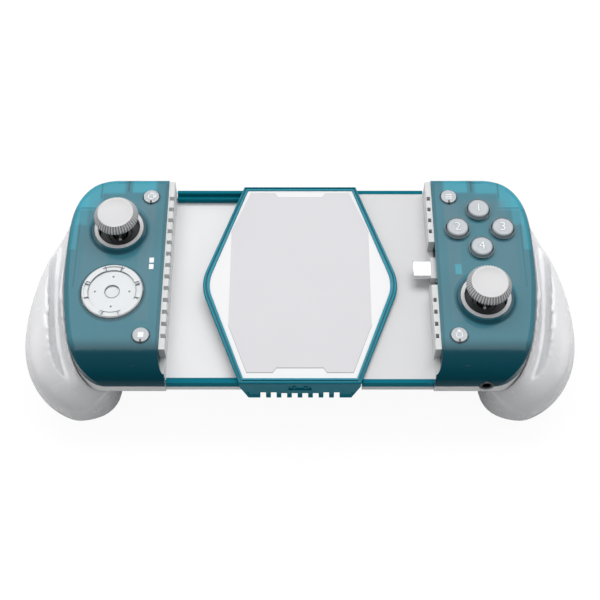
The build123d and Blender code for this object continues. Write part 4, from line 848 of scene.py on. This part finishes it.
class CONTROLLER_OT_plate_lines(bpy.types.Operator):
    """Fine border lines of the rest plate and its panel"""
    bl_idname = "controller.plate_lines"
    bl_label = "Plate lines"

    def execute(self, context):
        sizes = context.scene.controller_sizes
        line = new_finish("Border Line", (0.30, 0.31, 0.32), 0.4, 0.05)[0]
        low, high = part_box("bridge_pad")
        left, front, right = low[0] / MM, low[1] / MM, high[0] / MM
        half = right * PANEL_CORNER_SHARE
        side = front + PANEL_SIDE_RISE
        deep = front + PANEL_NOTCH_DEPTH
        outlines = {
            "plate_line_front": [(half, front), (PANEL_NOTCH_HALF, front), (PANEL_NOTCH_INNER, deep),
                                 (-PANEL_NOTCH_INNER, deep), (-PANEL_NOTCH_HALF, front), (-half, front)],
            "plate_line_left": [(-half, front), (left, side)],
            "plate_line_right": [(right, side), (half, front)],
        }
        for name, points in outlines.items():
            shape = bmesh.new()
            corners = [shape.verts.new((x * MM, y * MM, 0)) for x, y in points]
            for first, second in zip(corners, corners[1:]):
                shape.edges.new((first, second))
            made = bmesh.ops.extrude_edge_only(shape, edges=shape.edges[:])["geom"]
            moved = [v for v in made if isinstance(v, bmesh.types.BMVert)]
            bmesh.ops.translate(shape, verts=moved, vec=(0, sizes.line_width, 0))
            made = bmesh.ops.extrude_face_region(shape, geom=shape.faces[:])["geom"]
            moved = [v for v in made if isinstance(v, bmesh.types.BMVert)]
            bmesh.ops.translate(shape, verts=moved, vec=(0, 0, PANEL_LINE_HEIGHT * MM))
            finished(name, shape, line, "bridge", False)
        return {"FINISHED"}


class CONTROLLER_OT_stage(bpy.types.Operator):
    """Pale floor, soft light and the camera"""
    bl_idname = "controller.stage"
    bl_label = "Stage"

    def execute(self, context):
        scene = context.scene
        scene.view_settings.view_transform = "Standard"
        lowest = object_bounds()[0][2]
        shape = bmesh.new()
        bmesh.ops.create_grid(shape, x_segments=1, y_segments=1, size=FLOOR_HALF,
                              matrix=Matrix.Translation((0, 0, lowest - FLOOR_DROP * MM)))
        mesh = bpy.data.meshes.new("floor")
        shape.to_mesh(mesh)
        shape.free()
        floor = bpy.data.objects.new("floor", mesh)
        scene.collection.objects.link(floor)
        mesh.materials.append(floor_finish())
        floor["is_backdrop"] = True
        world = bpy.data.worlds.new("Studio")
        scene.world = world
        world.use_nodes = True
        tree = world.node_tree
        back = tree.nodes["Background"]
        place = tree.nodes.new("ShaderNodeTexCoord")
        parts = tree.nodes.new("ShaderNodeSeparateXYZ")
        tree.links.new(place.outputs["Generated"], parts.inputs[0])
        span = tree.nodes.new("ShaderNodeMapRange")
        span.inputs["From Min"].default_value = SKY_DIRECTION[0]
        span.inputs["From Max"].default_value = SKY_DIRECTION[1]
        span.inputs["To Min"].default_value = SKY_STRENGTH[0]
        span.inputs["To Max"].default_value = SKY_STRENGTH[1]
        tree.links.new(parts.outputs["Y"], span.inputs["Value"])
        path = tree.nodes.new("ShaderNodeLightPath")
        strength = tree.nodes.new("ShaderNodeMix")
        tree.links.new(path.outputs["Is Camera Ray"], strength.inputs[0])
        tree.links.new(span.outputs["Result"], strength.inputs[2])
        strength.inputs[3].default_value = 1.0
        tree.links.new(strength.outputs[0], back.inputs["Strength"])
        back.inputs["Color"].default_value = (1, 1, 1, 1)
        for name, spot, size, power in LAMPS:
            self.lamp(scene, name, spot, size, power)
        lens = bpy.data.cameras.new("camera")
        lens.lens = CAMERA_LENS
        lens.sensor_width = CAMERA_SENSOR
        lens.clip_start = 0.01
        camera = bpy.data.objects.new("camera", lens)
        scene.collection.objects.link(camera)
        tilt = radians(CAMERA_TILT)
        away = Vector((0, -sin(tilt), cos(tilt)))
        camera.location = MM * Vector(CAMERA_TARGET) + CAMERA_DISTANCE * MM * away
        camera.rotation_euler = (tilt, 0, 0)
        scene.camera = camera
        return {"FINISHED"}

    def lamp(self, scene, name, place, size, power):
        """Area lamp that faces the object."""
        light = bpy.data.lights.new(name, "AREA")
        light.shape = "RECTANGLE"
        light.size, light.size_y = size
        light.energy = power
        holder = bpy.data.objects.new(name, light)
        scene.collection.objects.link(holder)
        holder.location = place
        holder.rotation_euler = Vector(place).to_track_quat("Z", "Y").to_euler()


def floor_finish():
    """Pale floor that shows white to the camera and keeps a soft shadow."""
    material = bpy.data.materials.new("Floor White")
    material.use_nodes = True
    tree = material.node_tree
    shader = tree.nodes["Principled BSDF"]
    shader.inputs["Base Color"].default_value = (*FLOOR_GREY, 1)
    shader.inputs["Roughness"].default_value = 0.9
    glow = tree.nodes.new("ShaderNodeEmission")
    glow.inputs["Strength"].default_value = FLOOR_GLOW
    path = tree.nodes.new("ShaderNodeLightPath")
    seen = maths(tree, "MAXIMUM", path.outputs["Is Camera Ray"], path.outputs["Is Transmission Ray"])
    mix = tree.nodes.new("ShaderNodeMixShader")
    tree.links.new(maths(tree, "MULTIPLY", seen, FLOOR_GLOW_SHARE), mix.inputs[0])
    tree.links.new(shader.outputs[0], mix.inputs[1])
    tree.links.new(glow.outputs[0], mix.inputs[2])
    tree.links.new(mix.outputs[0], tree.nodes["Material Output"].inputs["Surface"])
    return material


STEPS = (CONTROLLER_OT_finishes, CONTROLLER_OT_grips, CONTROLLER_OT_thumb_caps, CONTROLLER_OT_button_marks,
         CONTROLLER_OT_direction_marks, CONTROLLER_OT_plate_lines, CONTROLLER_OT_stage)


class CONTROLLER_PT_panel(bpy.types.Panel):
    """Sidebar panel with the steps and their sizes"""
    bl_idname = "CONTROLLER_PT_panel"
    bl_label = "Game Controller"
    bl_space_type = "VIEW_3D"
    bl_region_type = "UI"
    bl_category = "Controller"

    def draw(self, context):
        for step in STEPS:
            self.layout.operator(step.bl_idname)
        for group in (context.scene.controller_sizes, context.scene.controller_colours):
            for name in group.bl_rna.properties.keys():
                if name not in ("rna_type", "name"):
                    self.layout.prop(group, name)


CLASSES = (ControllerSizes, ControllerColours, *STEPS, CONTROLLER_PT_panel)


def register():
    """Registers the classes and the scene's settings."""
    for kind in CLASSES:
        bpy.utils.register_class(kind)
    bpy.types.Scene.controller_sizes = bpy.props.PointerProperty(type=ControllerSizes)
    bpy.types.Scene.controller_colours = bpy.props.PointerProperty(type=ControllerColours)


def unregister():
    """Takes the settings and the classes away."""
    del bpy.types.Scene.controller_colours
    del bpy.types.Scene.controller_sizes
    for kind in reversed(CLASSES):
        bpy.utils.unregister_class(kind)


def main():
    """Runs every step in order."""
    register()
    bpy.ops.controller.finishes()
    bpy.ops.controller.grips()
    bpy.ops.controller.thumb_caps()
    bpy.ops.controller.button_marks()
    bpy.ops.controller.direction_marks()
    bpy.ops.controller.plate_lines()
    bpy.ops.controller.stage()


if __name__ == "__main__":
    main()
